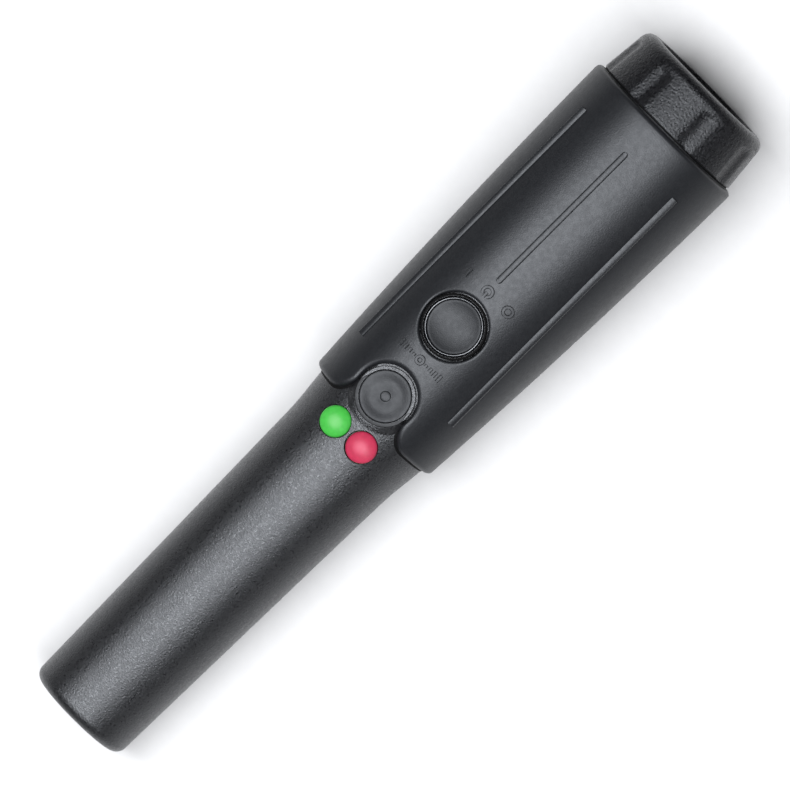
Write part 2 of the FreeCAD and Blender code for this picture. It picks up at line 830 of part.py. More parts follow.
def make_butt_cap():
    """The fluted cap that closes the battery bay and frames the torch window."""
    body = new_body("butt_cap")
    revolve(
        body,
        [
            (along(dim.cap_front), dim.cap_bore),
            (along(dim.cap_front), dim.cap_front_radius),
            (along(dim.cap_round), dim.cap_rear_radius, -dim.cap_round),
            (along(0), dim.cap_rear_radius - dim.cap_round),
            (along(0), dim.cap_lip),
            (along(dim.cap_lip_depth), dim.cap_lip - dim.cap_lip_depth),
            (along(dim.cap_lip_depth), dim.cap_window),
            (along(dim.cap_floor), dim.cap_window),
            (along(dim.cap_floor), dim.cap_bore),
        ],
    )
    taper = (dim.cap_front_radius - dim.cap_rear_radius) / (dim.cap_front - dim.cap_round)
    end_radius = dim.cap_rear_radius + taper * (dim.flute_end - dim.cap_round)
    before = body.Shape.Volume
    first_turn = FULL_TURN / dim.flute_count.value / 2
    flute = revolve(
        body,
        [
            (along(dim.flute_end), end_radius - dim.flute_depth),
            (along(dim.cap_front) + SPARE, dim.cap_front_radius - dim.flute_depth),
            (along(dim.cap_front) + SPARE, dim.crest_radius),
            (along(dim.flute_end), dim.crest_radius),
        ],
        kind="Groove",
        spin=first_turn,
        angle=math.degrees(dim.flute_width.value / dim.cap_front_radius.value),
    )
    around = body.newObject("PartDesign::PolarPattern", "Flutes")
    around.Originals = [flute]
    axis = next(item for item in body.Origin.OriginFeatures if item.Role == "X_Axis")
    around.Axis = (axis, [""])
    around.Angle = FULL_TURN
    around.Occurrences = int(dim.flute_count.value)
    around.setExpression("Occurrences", dim.flute_count.text)
    finish(body, around)
    if body.Shape.Volume > before - TINY:
        raise RuntimeError("the flutes cut nothing")
    return body


torch_front = dim.cap_floor + dim.fit_gap
flange_rear = torch_front + dim.flange_wall
lens_wall = 1.5
reflector_front = torch_front + lens_wall + dim.fit_gap
reflector_rear = dim.torch_rear - 1.8
torch_board_front = dim.torch_rear - 1.25


def make_torch():
    """The torch in the cap: housing, lens, reflector, light and its contact board."""
    turned_piece(
        "torch_housing",
        [
            (along(torch_front), dim.torch_bore),
            (along(torch_front), dim.torch_flange),
            (along(flange_rear), dim.torch_flange),
            (along(flange_rear), dim.torch_radius),
            (along(dim.torch_rear), dim.torch_radius),
            (along(dim.torch_rear), dim.torch_bore),
        ],
    )
    lens_radius = dim.torch_bore - dim.fit_gap
    dome_edge = dim.cap_window - dim.fit_gap * 3
    lens_rise = 1.2
    turned_piece(
        "torch_lens",
        [
            (along(torch_front + lens_wall), 0),
            (along(torch_front + lens_wall), lens_radius),
            (along(torch_front), lens_radius),
            (along(torch_front), dome_edge, -dome(dome_edge, lens_rise)),
            (along(torch_front) - lens_rise, 0),
        ],
    )
    turned_piece(
        "torch_reflector",
        [
            (along(reflector_front), lens_radius - 1.0),
            (along(reflector_front), lens_radius),
            (along(reflector_front) + 0.8, lens_radius, 22),
            (along(reflector_rear), 3.7),
            (along(reflector_rear), 2.9, -20),
        ],
    )
    turned_piece(
        "torch_light",
        [
            (along(torch_board_front - 0.03), 0),
            (along(torch_board_front - 0.03), 2.7),
            (along(reflector_rear) - 0.3, 2.7),
            (along(reflector_rear) - 0.3, 2.2, -dome(2.2, 2.1)),
            (along(reflector_rear) - 2.4, 0),
        ],
    )
    face = rod(
        "torch_board_disc",
        lens_radius,
        along(torch_board_front),
        along(torch_board_front + 1.2),
        way="x",
    )
    keep(face, "torch_board")
    ring_front = flange_rear + dim.fit_gap
    turned_piece(
        "torch_snap_ring",
        [
            (along(ring_front), dim.torch_radius + dim.fit_gap),
            (along(ring_front), dim.cap_bore - 0.02),
            (along(ring_front + dim.ring_wall), dim.cap_bore - 0.02),
            (along(ring_front + dim.ring_wall), dim.torch_radius + dim.fit_gap),
        ],
    )
    seal_gap = 0.06
    turned_piece(
        "cap_seal",
        [
            (along(dim.cap_front + seal_gap), dim.neck_radius + seal_gap),
            (along(dim.cap_front + seal_gap), dim.cap_front_radius - 0.4),
            (along(dim.case_shoulder - seal_gap), dim.cap_front_radius - 0.4),
            (along(dim.case_shoulder - seal_gap), dim.neck_radius + seal_gap),
        ],
    )


# ---------------------------------------------------------------- keys, switches, lenses

SWITCH_LOW = 0.03
SWITCH_SIDE = 6.0
SWITCH_HIGH = 3.5
PLUNGER_RADIUS = 1.7
PLUNGER_TOP = 13.2
PLUNGER_LENGTH = 2.2
board_top = dim.board_low + dim.board_wall
flange_top = dim.collar_foot - 0.05


def key_skirt(hole, collar, top):
    """The part of a key's section that both keys share, from its stem to its rim."""
    radius = hole / 2 - dim.key_clearance
    stem_low = PLUNGER_TOP + 0.03
    edge = 0.35
    return [
        (0, stem_low),
        (2.0, stem_low),
        (2.0, flange_top - dim.key_flange),
        (collar / 2 - 0.1, flange_top - dim.key_flange),
        (collar / 2 - 0.1, flange_top),
        (radius, flange_top),
        (radius, top - edge, -edge),
        (radius - edge, top),
    ]


def make_keys():
    """The two push keys: one with a raised rim, one with a dished face and centre dot."""
    radius = dim.power_hole / 2 - dim.key_clearance
    face_edge = dim.power_top - dim.key_dish
    turned_piece(
        "power_key",
        key_skirt(dim.power_hole, dim.power_collar, dim.power_top)
        + [
            (radius - 0.8, dim.power_top),
            (radius - 0.95, face_edge, -dome(radius - 0.95, 0.3)),
            (0, face_edge + 0.3),
        ],
        place_at(power_x),
        "V_Axis",
    )
    radius = dim.light_hole / 2 - dim.key_clearance
    floor = dim.light_top - dim.key_dish
    turned_piece(
        "light_key",
        key_skirt(dim.light_hole, dim.light_collar, dim.light_top)
        + [
            (radius - 0.55, dim.light_top, 9),
            (4.1, floor),
            (1.75, floor),
            (1.5, floor + 0.3),
            (0, floor + 0.35),
        ],
        place_at(light_x),
        "V_Axis",
    )
    for name, x in (("power", power_x), ("light", light_x)):
        make_switch(name, x)


def make_switch(name, x):
    """A push switch on the board: its case, and the plunger that its key presses."""
    half = SWITCH_SIDE / 2
    low = board_top + SWITCH_LOW
    case = block(
        name + "_switch_block", (x - half, x + half), (-half, half), (low, low + SWITCH_HIGH)
    )
    well = rod(
        name + "_switch_well",
        PLUNGER_RADIUS + 0.08,
        PLUNGER_TOP - PLUNGER_LENGTH - dim.key_travel - 0.2,
        PLUNGER_TOP,
        (x, 0),
    )
    keep(less(name + "_switch_cut", case, well), name + "_switch")
    plunger = rod(
        name + "_plunger_rod",
        PLUNGER_RADIUS,
        PLUNGER_TOP - PLUNGER_LENGTH,
        as_size(PLUNGER_TOP),
        (x, 0),
    )
    keep(plunger, name + "_switch_plunger")


def make_lenses():
    """The domed green and red lenses, and the light under each."""
    radius = dim.lens_diameter / 2
    curve = dome(radius, dim.lens_dome)
    for colour, side in (("green", -1), ("red", 1)):
        y = dim.lens_pitch / 2 * side
        spot = place_at(along(dim.lens_station), y)
        turned_piece(
            colour + "_lens",
            [
                (0, dim.lens_foot),
                (radius, dim.lens_foot),
                (radius, dim.lens_rim, -curve),
                (0, dim.lens_rim + dim.lens_dome),
            ],
            spot,
            "V_Axis",
        )
        low = board_top + SWITCH_LOW
        turned_piece(
            colour + "_light",
            [
                (0, low),
                (2.9, low),
                (2.9, low + 1.0),
                (2.5, low + 1.0),
                (2.5, dim.lens_foot - 2.7, -2.5),
                (0, dim.lens_foot - 0.2),
            ],
            spot,
            "V_Axis",
        )


# ---------------------------------------------------------------- battery and chassis

battery_front = dim.battery_rear + dim.battery_length
battery_high = dim.battery_low + dim.battery_height
battery_middle = dim.battery_low + dim.battery_height / 2
stud_y = -dim.terminal_pitch / 2
socket_y = dim.terminal_pitch / 2
socket_bore = 3.0
snap_rear = battery_front + dim.terminal_height + 0.2
SNAP_WALL = 2.0


def make_battery():
    """A nine volt block with its two snap terminals, and the snap plate that grips them."""
    body = new_body("battery")
    half = dim.battery_width / 2
    pad(
        body,
        lambda s: box_outline(s, -half, dim.battery_low, half, battery_high),
        along(dim.battery_rear),
        along(battery_front),
        role="YZ_Plane",
    )

    def long_edge(edge):
        return edge.BoundBox.XLength > dim.battery_length.value - SPARE

    soften(body, 2.0, long_edge)
    terminal_end = along(battery_front + dim.terminal_height)
    pad(
        body,
        lambda s: round_hole(s, stud_y, battery_middle, dim.stud_radius * 2),
        along(battery_front),
        terminal_end,
        role="YZ_Plane",
    )
    pad(
        body,
        lambda s: round_hole(s, socket_y, battery_middle, dim.socket_radius * 2),
        along(battery_front),
        terminal_end,
        role="YZ_Plane",
    )
    pocket(
        body,
        lambda s: round_hole(s, socket_y, battery_middle, socket_bore * 2),
        along(battery_front) + 0.2,
        terminal_end,
        role="YZ_Plane",
    )
    plate = block(
        "snap_plate",
        (along(snap_rear), along(snap_rear + SNAP_WALL)),
        (-half, half),
        (battery_middle - 6.5, battery_middle + 6.5),
    )
    cup = rod(
        "snap_cup",
        dim.socket_radius - 0.1,
        along(battery_front) + 0.3,
        along(snap_rear + SNAP_WALL / 2),
        (stud_y, battery_middle),
        "x",
    )
    cup_bore = rod(
        "snap_cup_bore",
        dim.stud_radius + 0.08,
        along(battery_front),
        along(snap_rear),
        (stud_y, battery_middle),
        "x",
    )
    stud = rod(
        "snap_stud",
        socket_bore - 0.15,
        along(battery_front) + 0.5,
        along(snap_rear + SNAP_WALL / 2),
        (socket_y, battery_middle),
        "x",
    )
    keep(joined("snap_all", less("snap_open", joined("snap_solid", plate, cup), cup_bore), stud),
         "battery_snap")


def screw_spots():
    """The four places where the board is screwed to the tray."""
    for station in (dim.board_rear + dim.screw_inset, dim.board_front - dim.screw_inset):
        for side in (-1, 1):
            yield along(station), dim.screw_side * side


def make_chassis():
    """The carrier: a cradle for the battery, a bulkhead and the tray under the board."""
    body = new_body("chassis")
    half = dim.chassis_half
    inner = dim.chassis_half - dim.cradle_wall
    low = dim.cradle_low
    floor = dim.battery_low - 0.1
    shoulder = dim.cradle_low + 2.8
    pad(
        body,
        lambda s: outline(
            s,
            [
                (-half, dim.cradle_high),
                (-half, shoulder),
                (-(half - 2), low),
                (half - 2, low),
                (half, shoulder),
                (half, dim.cradle_high),
                (inner, dim.cradle_high),
                (inner, floor),
                (-inner, floor),
                (-inner, dim.cradle_high),
            ],
        ),
        along(dim.cradle_rear),
        along(dim.bulkhead),
        role="YZ_Plane",
    )
    tray = dim.tray_half
    pad(
        body,
        lambda s: outline(
            s,
            [
                (-half, dim.cradle_high),
                (-half, shoulder),
                (-(half - 2), low),
                (half - 2, low),
                (half, shoulder),
                (half, dim.cradle_high),
                (tray - 0.6, dim.cradle_high),
                (tray - 0.6, dim.board_low - 0.2),
                (-(tray - 0.6), dim.board_low - 0.2),
                (-(tray - 0.6), dim.cradle_high),
            ],
        ),
        along(dim.bulkhead),
        along(dim.bulkhead + dim.bulkhead_wall),
        role="YZ_Plane",
    )
    tray_top = dim.tray_low + dim.tray_wall
    pad(
        body,
        lambda s: box_outline(
            s, along(dim.bulkhead + SPARE), -tray, along(dim.tray_front), tray
        ),
        dim.tray_low,
        tray_top,
    )
    for x, y in screw_spots():
        pad(body, lambda s, x=x, y=y: round_hole(s, x, y, 4.6), tray_top, dim.board_low)
        pocket(
            body,
            lambda s, x=x, y=y: round_hole(s, x, y, dim.screw_shank + 0.06),
            dim.tray_low - SPARE,
            dim.board_low + SPARE,
        )
    return body


def make_board():
    """The circuit board, its chips and capacitors, and the four screws that hold it."""
    body = new_body("circuit_board")
    half = dim.board_half
    pad(
        body,
        lambda s: box_outline(s, along(dim.board_rear), -half, along(dim.board_front), half),
        dim.board_low,
        board_top,
    )
    screws = []
    for number, (x, y) in enumerate(screw_spots(), start=1):
        pocket(
            body,
            lambda s, x=x, y=y: round_hole(s, x, y, dim.screw_shank + 0.4),
            dim.board_low - SPARE,
            board_top + SPARE,
        )
        shank = rod(
            "screw_shank_%d" % number,
            dim.screw_shank / 2,
            dim.tray_low + 0.3,
            board_top + 0.5,
            (x, y),
        )
        head = rod(
            "screw_head_%d" % number,
            dim.screw_head / 2,
            board_top + 0.02,
            board_top + 1.3,
            (x, y),
        )
        slot = block(
            "screw_slot_%d" % number,
            (x - dim.screw_head, x + dim.screw_head),
            (y - 0.25, y + 0.25),
            (board_top + 0.7, board_top + 2.0),
        )
        screws.append(
            less("screw_%d" % number, joined("screw_body_%d" % number, shank, head), slot)
        )
    keep(group("board_screw_set", *screws), "board_screws")
    low = board_top + SWITCH_LOW
    chips = []
    for number, (station, y, long, wide, tall) in enumerate(
        ((86.0, 0, 7.0, 7.0, 1.1), (106.0, 2.5, 9.0, 6.0, 1.5), (108.0, -7.0, 5.0, 4.0, 1.4),
         (128.0, 7.5, 4.0, 3.0, 1.2)),
        start=1,
    ):
        x = along(as_size(station))
        chips.append(
            block(
                "chip_%d" % number,
                (x - long / 2, x + long / 2),
                (as_size(y - wide / 2), as_size(y + wide / 2)),
                (low, low + tall),
            )
        )
    keep(group("chip_set", *chips), "board_chips")
    cans = []
    for number, side in enumerate((-1, 1), start=1):
        cans.append(
            rod(
                "capacitor_%d" % number,
                2.5,
                low,
                low + 3.6,
                (along(as_size(80.0)), 7.5 * side),
            )
        )
    keep(group("capacitor_set", *cans), "board_capacitors")


def make_contact_strips():
    """Two brass strips on the cradle's rails that carry power back to the torch."""
    strips = []
    gap = 0.05
    inner = dim.chassis_half - dim.cradle_wall + 0.1
    outer = dim.chassis_half - 0.1
    low = dim.cradle_high + gap
    strip_wall = 0.4
    tray_edge = dim.tray_half + gap
    board_edge = dim.board_half + gap
    for name, side in (("left", 1), ("right", -1)):
        sides = sorted((inner * side, outer * side), key=lambda size: size.value)
        riser = sorted((tray_edge * side, outer * side), key=lambda size: size.value)
        reach = sorted((board_edge * side, outer * side), key=lambda size: size.value)
        run = block(
            name + "_strip_run",
            (along(dim.torch_rear + gap), along(dim.board_rear + 0.3)),
            (sides[0], sides[1]),
            (low, low + strip_wall),
        )
        post = block(
            name + "_strip_post",
            (along(dim.board_rear - 0.5), along(dim.board_rear + 0.3)),
            (riser[0], riser[1]),
            (low, dim.board_low + strip_wall),
        )
        tab = block(
            name + "_strip_tab",
            (along(dim.board_rear - 0.5), along(dim.board_rear + 0.3)),
            (reach[0], reach[1]),
            (dim.board_low + gap, dim.board_low + strip_wall * 2),
        )
        strips.append(joined(name + "_strip", run, post, tab))
    keep(group("strip_pair", *strips), "contact_strips")


# ---------------------------------------------------------------- alarm parts


def make_alarms():
    """The sounder under the tray, and the vibration motor with its off-centre weight."""
    sounder_x = along(dim.sounder_station)
    can = rod(
        "sounder_can",
        dim.sounder_radius,
        dim.tray_low - 0.04 - dim.sounder_height,
        dim.tray_low - 0.04,
        (sounder_x, 0),
    )
    port = rod(
        "sounder_port",
        1.2,
        dim.tray_low - 0.04 - dim.sounder_height - SPARE,
        dim.tray_low - dim.sounder_height + 1.4,
        (sounder_x, 0),
    )
    keep(less("sounder_cut", can, port), "sounder")
    height = dim.motor_height
    rear = along(dim.motor_rear)
    front = rear + dim.motor_length
    centre = (0, height)
    case = rod("motor_case", dim.motor_radius, rear, front, centre, "x")
    bore = rod("motor_bore", dim.shaft_radius + 0.05, front - 4.0, front, centre, "x")
    keep(less("motor_cut", case, bore), "vibration_motor")
    weight_rear = front + 1.0
    weight_front = weight_rear + dim.weight_length
    shaft = rod(
        "shaft_rod", dim.shaft_radius, front - 3.6, weight_front + 0.6, centre, "x"
    )
    keep(shaft, "motor_shaft")
    disc = rod("weight_disc", dim.weight_radius, weight_rear, weight_front, centre, "x")
    upper = block(
        "weight_upper_half",
        (weight_rear - SPARE, weight_front + SPARE),
        (-dim.weight_radius - SPARE, dim.weight_radius + SPARE),
        (height + 0.4, height + dim.weight_radius + SPARE),
    )
    hub = rod("weight_hub", 1.7, weight_rear, weight_front, centre, "x")
    shaft_hole = rod(
        "weight_bore",
        dim.shaft_radius + 0.01,
        weight_rear - SPARE,
        weight_front + SPARE,
        centre,
        "x",
    )
    lower = less("weight_lower", disc, upper)
    keep(less("weight_cut", joined("weight_all", lower, hub), shaft_hole), "motor_weight")
    clip_rear = rear + 3.5
    clip_front = rear + 11.5
    wall = 1.1
    outer = dim.motor_radius + wall
    band = rod("clip_band", outer, clip_rear, clip_front, centre, "x")
    saddle = block(
        "clip_saddle",
        (clip_rear, clip_front),
        (-outer, outer),
        (height, dim.tray_low - 0.02),
    )
    hole = rod(
        "clip_hole",
        dim.motor_radius + 0.03,
        clip_rear - SPARE,
        clip_front + SPARE,
        centre,
        "x",
    )
    keep(less("clip_cut", joined("clip_all", band, saddle), hole), "motor_clip")


# ---------------------------------------------------------------- search coil


def make_coil():
    """The search coil: a ferrite rod in a flanged former that carries three windings."""
    ferrite = rod(
        "ferrite",
        dim.rod_radius,
        along(dim.rod_rear),
        along(dim.rod_rear + dim.rod_length),
        (0, 0),
        "x",
    )
    keep(ferrite, "ferrite_rod")
    wall = dim.former_flange
    former_front = dim.former_rear + dim.former_length
    end_gap = 0.15
    middle_flange = dim.winding_radius + SPARE
    pitch = (dim.former_length - wall) / 3
    starts = [dim.former_rear + pitch * number for number in range(4)]
    flanges = [
        tube_bore_at(dim.former_rear + wall) - end_gap,
        middle_flange,
        middle_flange,
        tube_bore_at(former_front) - end_gap,
    ]
    corners = [(along(dim.former_rear), dim.rod_radius + dim.former_gap)]
    for start, radius in zip(starts, flanges):
        if start is not starts[0]:
            corners.append((along(start), dim.former_radius))
        corners.append((along(start), radius))
        corners.append((along(start + wall), radius))
        if start is not starts[-1]:
            corners.append((along(start + wall), dim.former_radius))
    corners.append((along(former_front), dim.rod_radius + dim.former_gap))
    turned_piece("coil_former", corners)
    gap = 0.08
    windings = []
    for number, radius in enumerate(
        (dim.winding_radius - 0.8, dim.winding_radius, dim.winding_radius - 0.8)
    ):
        low = along(starts[number] + wall + gap)
        high = along(starts[number + 1] - gap)
        outer = rod("winding_%d_outer" % number, radius, low, high, (0, 0), "x")
        inner = rod(
            "winding_%d_inner" % number,
            dim.former_radius + 0.05,
            low - SPARE,
            high + SPARE,
            (0, 0),
            "x",
        )
        windings.append(less("winding_%d" % number, outer, inner))
    keep(windings[1], "transmit_winding")
    keep(group("receive_pair", windings[0], windings[2]), "receive_windings")
    pad_front = dim.overall_length - dim.tip_wall - 0.1
    foam = rod(
        "tip_foam",
        dim.tip_bore - 0.2,
        along(pad_front - dim.pad_length),
        along(pad_front),
        (0, 0),
        "x",
    )
    keep(foam, "tip_pad")


# ---------------------------------------------------------------- leads


def keep_leads(label, routes):
    """Several leads as one named piece whose routes come from the sheet."""
    several = doc.addObject("Part::Feature", label)
    several.Shape = Part.makeCompound([lead(*route) for route in routes])
    keep(several, label)


def make_leads():
    """Battery leads over the bulkhead, and coil leads from the board to the former."""
    snap_x = along(snap_rear + SNAP_WALL / 2)
    snap_top = battery_middle + 6.5
    board_x = along(dim.board_rear + 5.5)
    rise = 12.2
    keep_leads(
        "battery_leads",
        [
            (
                (snap_x, y, snap_top),
                (snap_x, y, rise),
                (board_x, y, rise),
                (board_x, y, board_top),
            )
            for y in (-3.2, 3.2)
        ],
    )
    start_x = along(dim.board_front - 1.5)
    bend_x = along(dim.board_front + 5.0)
    former_x = along(dim.former_rear - 0.7)
    keep_leads(
        "coil_leads",
        [
            (
                (start_x, y, board_top),
                (start_x, y, 12.0),
                (bend_x, y, 12.0),
                (former_x, y, 7.0),
            )
            for y in (-4.5, -1.5, 1.5, 4.5)
        ],
    )


# ---------------------------------------------------------------- build and export


def check_and_export():
    """Refuse a failed feature or a broken solid, then write one file for each piece."""
    doc.recompute()
    for item in doc.Objects:
        if "Invalid" in item.State or "Error" in item.State:
            raise RuntimeError("%s failed: %s" % (item.Name, item.State))
    for piece in pieces:
        if piece.Shape.isNull() or not piece.Shape.isValid():
            raise RuntimeError("%s is not a valid solid" % piece.Label)
    os.makedirs("parts", exist_ok=True)
    for piece in pieces:
        piece.Shape.exportStep("parts/%s.step" % piece.Label)
        print(piece.Label, len(piece.Shape.Solids), round(piece.Shape.Volume, 1))


make_probe_case()
make_grip_sleeve()
make_butt_cap()
make_torch()
make_keys()
make_lenses()
make_battery()
make_chassis()
make_board()
make_contact_strips()
make_alarms()
make_coil()
make_leads()
check_and_export()
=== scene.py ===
import json
import math

import bmesh
import bpy
import numpy as np
from mathutils import Matrix, Vector


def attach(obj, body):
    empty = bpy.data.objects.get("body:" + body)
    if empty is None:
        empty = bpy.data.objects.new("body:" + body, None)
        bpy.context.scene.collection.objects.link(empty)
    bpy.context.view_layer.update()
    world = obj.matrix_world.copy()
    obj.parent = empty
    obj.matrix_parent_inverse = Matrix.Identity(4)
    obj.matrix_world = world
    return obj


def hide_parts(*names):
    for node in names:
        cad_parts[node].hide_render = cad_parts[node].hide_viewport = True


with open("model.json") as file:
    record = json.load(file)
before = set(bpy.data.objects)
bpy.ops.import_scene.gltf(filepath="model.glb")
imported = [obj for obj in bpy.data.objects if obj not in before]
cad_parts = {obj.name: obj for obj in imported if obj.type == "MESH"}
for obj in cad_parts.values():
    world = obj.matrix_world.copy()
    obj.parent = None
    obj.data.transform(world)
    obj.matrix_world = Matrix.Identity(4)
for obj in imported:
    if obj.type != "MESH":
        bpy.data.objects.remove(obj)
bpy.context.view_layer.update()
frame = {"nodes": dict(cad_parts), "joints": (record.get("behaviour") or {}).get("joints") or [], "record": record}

# Pinpointer probe, lying on its back on a pale floor.
#
# Shapes are drawn in millimetres in the probe's own frame, as in the CAD
# model: station runs from the butt face to the tip, y runs to the side and z
# runs up through the keys.  PROBE carries them into the shared frame.

nodes = frame["nodes"]
joints = {joint["name"]: joint for joint in frame["joints"]}

AXIS = Vector(joints["motor_spin"]["axis"]).normalized()
SIDE = Vector((0, 1, 0))
UP = AXIS.cross(SIDE)
CAP_PIVOT = 8.0                      # station of the cap's pivot
LENGTH = 241.0
BUTT = Vector(joints["cap_turn"]["pos_m"]) - AXIS * CAP_PIVOT * 0.001
PROBE = (
    Matrix.Translation(BUTT)
    @ Matrix((AXIS, SIDE, UP)).transposed().to_4x4()
    @ Matrix.Scale(0.001, 4)
)


# ---------------------------------------------------------------- mesh tools


class Shell:
    """Points and faces of one mesh, in the probe's millimetres."""

    def __init__(self):
        self.points = []
        self.faces = []

    def point(self, station, y, z):
        """Adds a point and gives its number."""
        self.points.append((station, y, z))
        return len(self.points) - 1

    def rows(self, grid, closed=False):
        """Quads between neighbouring rows of point numbers."""
        for low, high in zip(grid, grid[1:]):
            count = len(low)
            for i in range(count if closed else count - 1):
                j = (i + 1) % count
                self.face(low[i], low[j], high[j], high[i])

    def face(self, *corners):
        """One face, without corners that repeat."""
        kept = [c for i, c in enumerate(corners) if c != corners[i - 1]]
        if len(kept) > 2:
            self.faces.append(kept)

    def strip(self, grid):
        """A long closed piece: rows that are loops, with a face over each end."""
        self.rows(grid, closed=True)
        self.face(*grid[0])
        self.face(*grid[-1][::-1])

    def ring(self, station, y, radius, height, columns):
        """Point numbers round an upright axis."""
        numbers = []
        for i in range(columns):
            angle = 2 * math.pi * i / columns
            spot = (station + radius * math.cos(angle), y + radius * math.sin(angle))
            numbers.append(self.point(*spot, height))
        return numbers

    def build(self, name, material, body, replaced, sharp=40):
        """Makes the object and lets it ride on its body.  Edges that turn by more than
        sharp degrees are shaded as edges."""
        mesh = bpy.data.meshes.new(name)
        mesh.from_pydata(self.points, [], self.faces)
        mesh.transform(PROBE)
        mesh.validate()
        work = bmesh.new()
        work.from_mesh(mesh)
        bmesh.ops.recalc_face_normals(work, faces=work.faces)
        work.to_mesh(mesh)
        work.free()
        for polygon in mesh.polygons:
            polygon.use_smooth = True
        mesh.set_sharp_from_angle(angle=math.radians(sharp))
        mesh.materials.append(material)
        piece = bpy.data.objects.new(name, mesh)
        bpy.context.scene.collection.objects.link(piece)
        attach(piece, body)
        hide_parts(*replaced)


def smooth(x):
    """0 to 1 with level ends."""
    x = min(max(x, 0.0), 1.0)
    return x * x * (3 - 2 * x)


# ---------------------------------------------------------------- rubber grip

CREST_RADIUS = 25.1
CREST_STATION = -2.4
BARREL_CURVE = 2200.0
SLEEVE_REAR = 15.95
SLEEVE_FRONT = 127.1
SLEEVE_WALL = 2.0
REAR_ROUND = 1.3
FRONT_ROUND = 1.4
WINDOW_ROUND = 0.8
WINDOW_STEPS = 5                     # points round the window's edge
POWER_STATION = 92.55
WINDOW_RADIUS = 9.4
LIGHT_STATION = 118.9
SCALLOP_RADIUS = 8.8
LOBE_ROUND = 6.6
FAN_START = 104.1                    # the grid's columns fan out from here to the front edge
FAN_HALF = 61.5                      # degrees each side of the top that fan out
FAN_COLUMNS = 44
SIDE_COLUMNS = 34
BLOCK_COLUMNS = 21                   # columns each side of the top that the key window takes
BLOCK_REAR = 2 * POWER_STATION - FAN_START
REAR_STEPS = 5                       # points round the rear edge
FRONT_STEPS = 6                      # points round the front edge
PLAIN_ROWS = 42                      # rows from the rear edge to the window's block
BLOCK_ROWS = 22                      # rows of the window's block
BLEND_ROWS = 9                       # rows from the block's square outline to the round window
FAN_ROWS = 18                        # rows from the fan's start to the front edge
FAN_LEAVE = 0.8                      # how strongly a column keeps straight as it enters the fan
FAN_ARRIVE = 7.0                     # how far before the edge a column turns square to it


def barrel(station):
    """Radius of the grip's skin."""
    run = station - CREST_STATION
    return CREST_RADIUS - BARREL_CURVE + math.sqrt(BARREL_CURVE**2 - run * run)


def on_skin(station, y, depth=0.0, swing=0.0):
    """A point under the skin: straight below it for swing 0, towards the axis for swing 1."""
    radius = barrel(station)
    y = y * (1 - swing * depth / radius)
    return station, y, math.sqrt((radius - depth) ** 2 - y * y)


def at_angle(station, angle, depth=0.0):
    """A point under the skin at an angle from the top."""
    radius = barrel(station) - depth
    return station, radius * math.sin(angle), radius * math.cos(angle)


class FrontEdge:
    """The grip's front edge from its middle outwards: scallop, lobe, then the round end."""

    def __init__(self):
        # the lobe touches the front plane and the scallop
        self.lobe_x = SLEEVE_FRONT - LOBE_ROUND
        reach = SCALLOP_RADIUS + LOBE_ROUND
        self.lobe_y = math.sqrt(reach**2 - (self.lobe_x - LIGHT_STATION) ** 2)
        self.meet = math.atan2(self.lobe_y, LIGHT_STATION - self.lobe_x)
        self.lobe_turn = self.meet - math.pi / 2
        self.scallop_run = SCALLOP_RADIUS * self.meet
        self.lobe_run = LOBE_ROUND * (math.pi / 2 + self.lobe_turn)
        self.end_radius = barrel(SLEEVE_FRONT)
        self.end_start = math.asin(self.lobe_y / self.end_radius)
        self.end_run = self.end_radius * (math.radians(FAN_HALF) - self.end_start)
        self.run = self.scallop_run + self.lobe_run + self.end_run

    def at(self, share):
        """Plan point, and plan direction out of the rubber, at a share of the edge's length."""
        run = share * self.run
        if run < self.scallop_run:
            angle = run / SCALLOP_RADIUS
            out = (math.cos(angle), -math.sin(angle))
            return LIGHT_STATION - SCALLOP_RADIUS * out[0], -SCALLOP_RADIUS * out[1], out
        run -= self.scallop_run
        if run < self.lobe_run:
            angle = run / LOBE_ROUND - self.lobe_turn
            out = (math.sin(angle), -math.cos(angle))
            return self.lobe_x + LOBE_ROUND * out[0], self.lobe_y + LOBE_ROUND * out[1], out
        run -= self.lobe_run
        angle = self.end_start + run / self.end_radius
        return SLEEVE_FRONT, self.end_radius * math.sin(angle), (1.0, 0.0)

    def swing(self, share):
        """How far the edge wall turns from upright towards the axis."""
        first = self.scallop_run / self.run
        last = (self.scallop_run + self.lobe_run) / self.run
        return smooth((share - first) / (last - first))


def round_steps(radius, count):
    """(distance from the edge, depth) down a rounded edge, from its start to its foot."""
    steps = []
    for i in range(1, count + 1):
        turn = math.pi / 2 * i / count
        steps.append((radius * (1 - math.sin(turn)), radius * (1 - math.cos(turn))))
    return steps


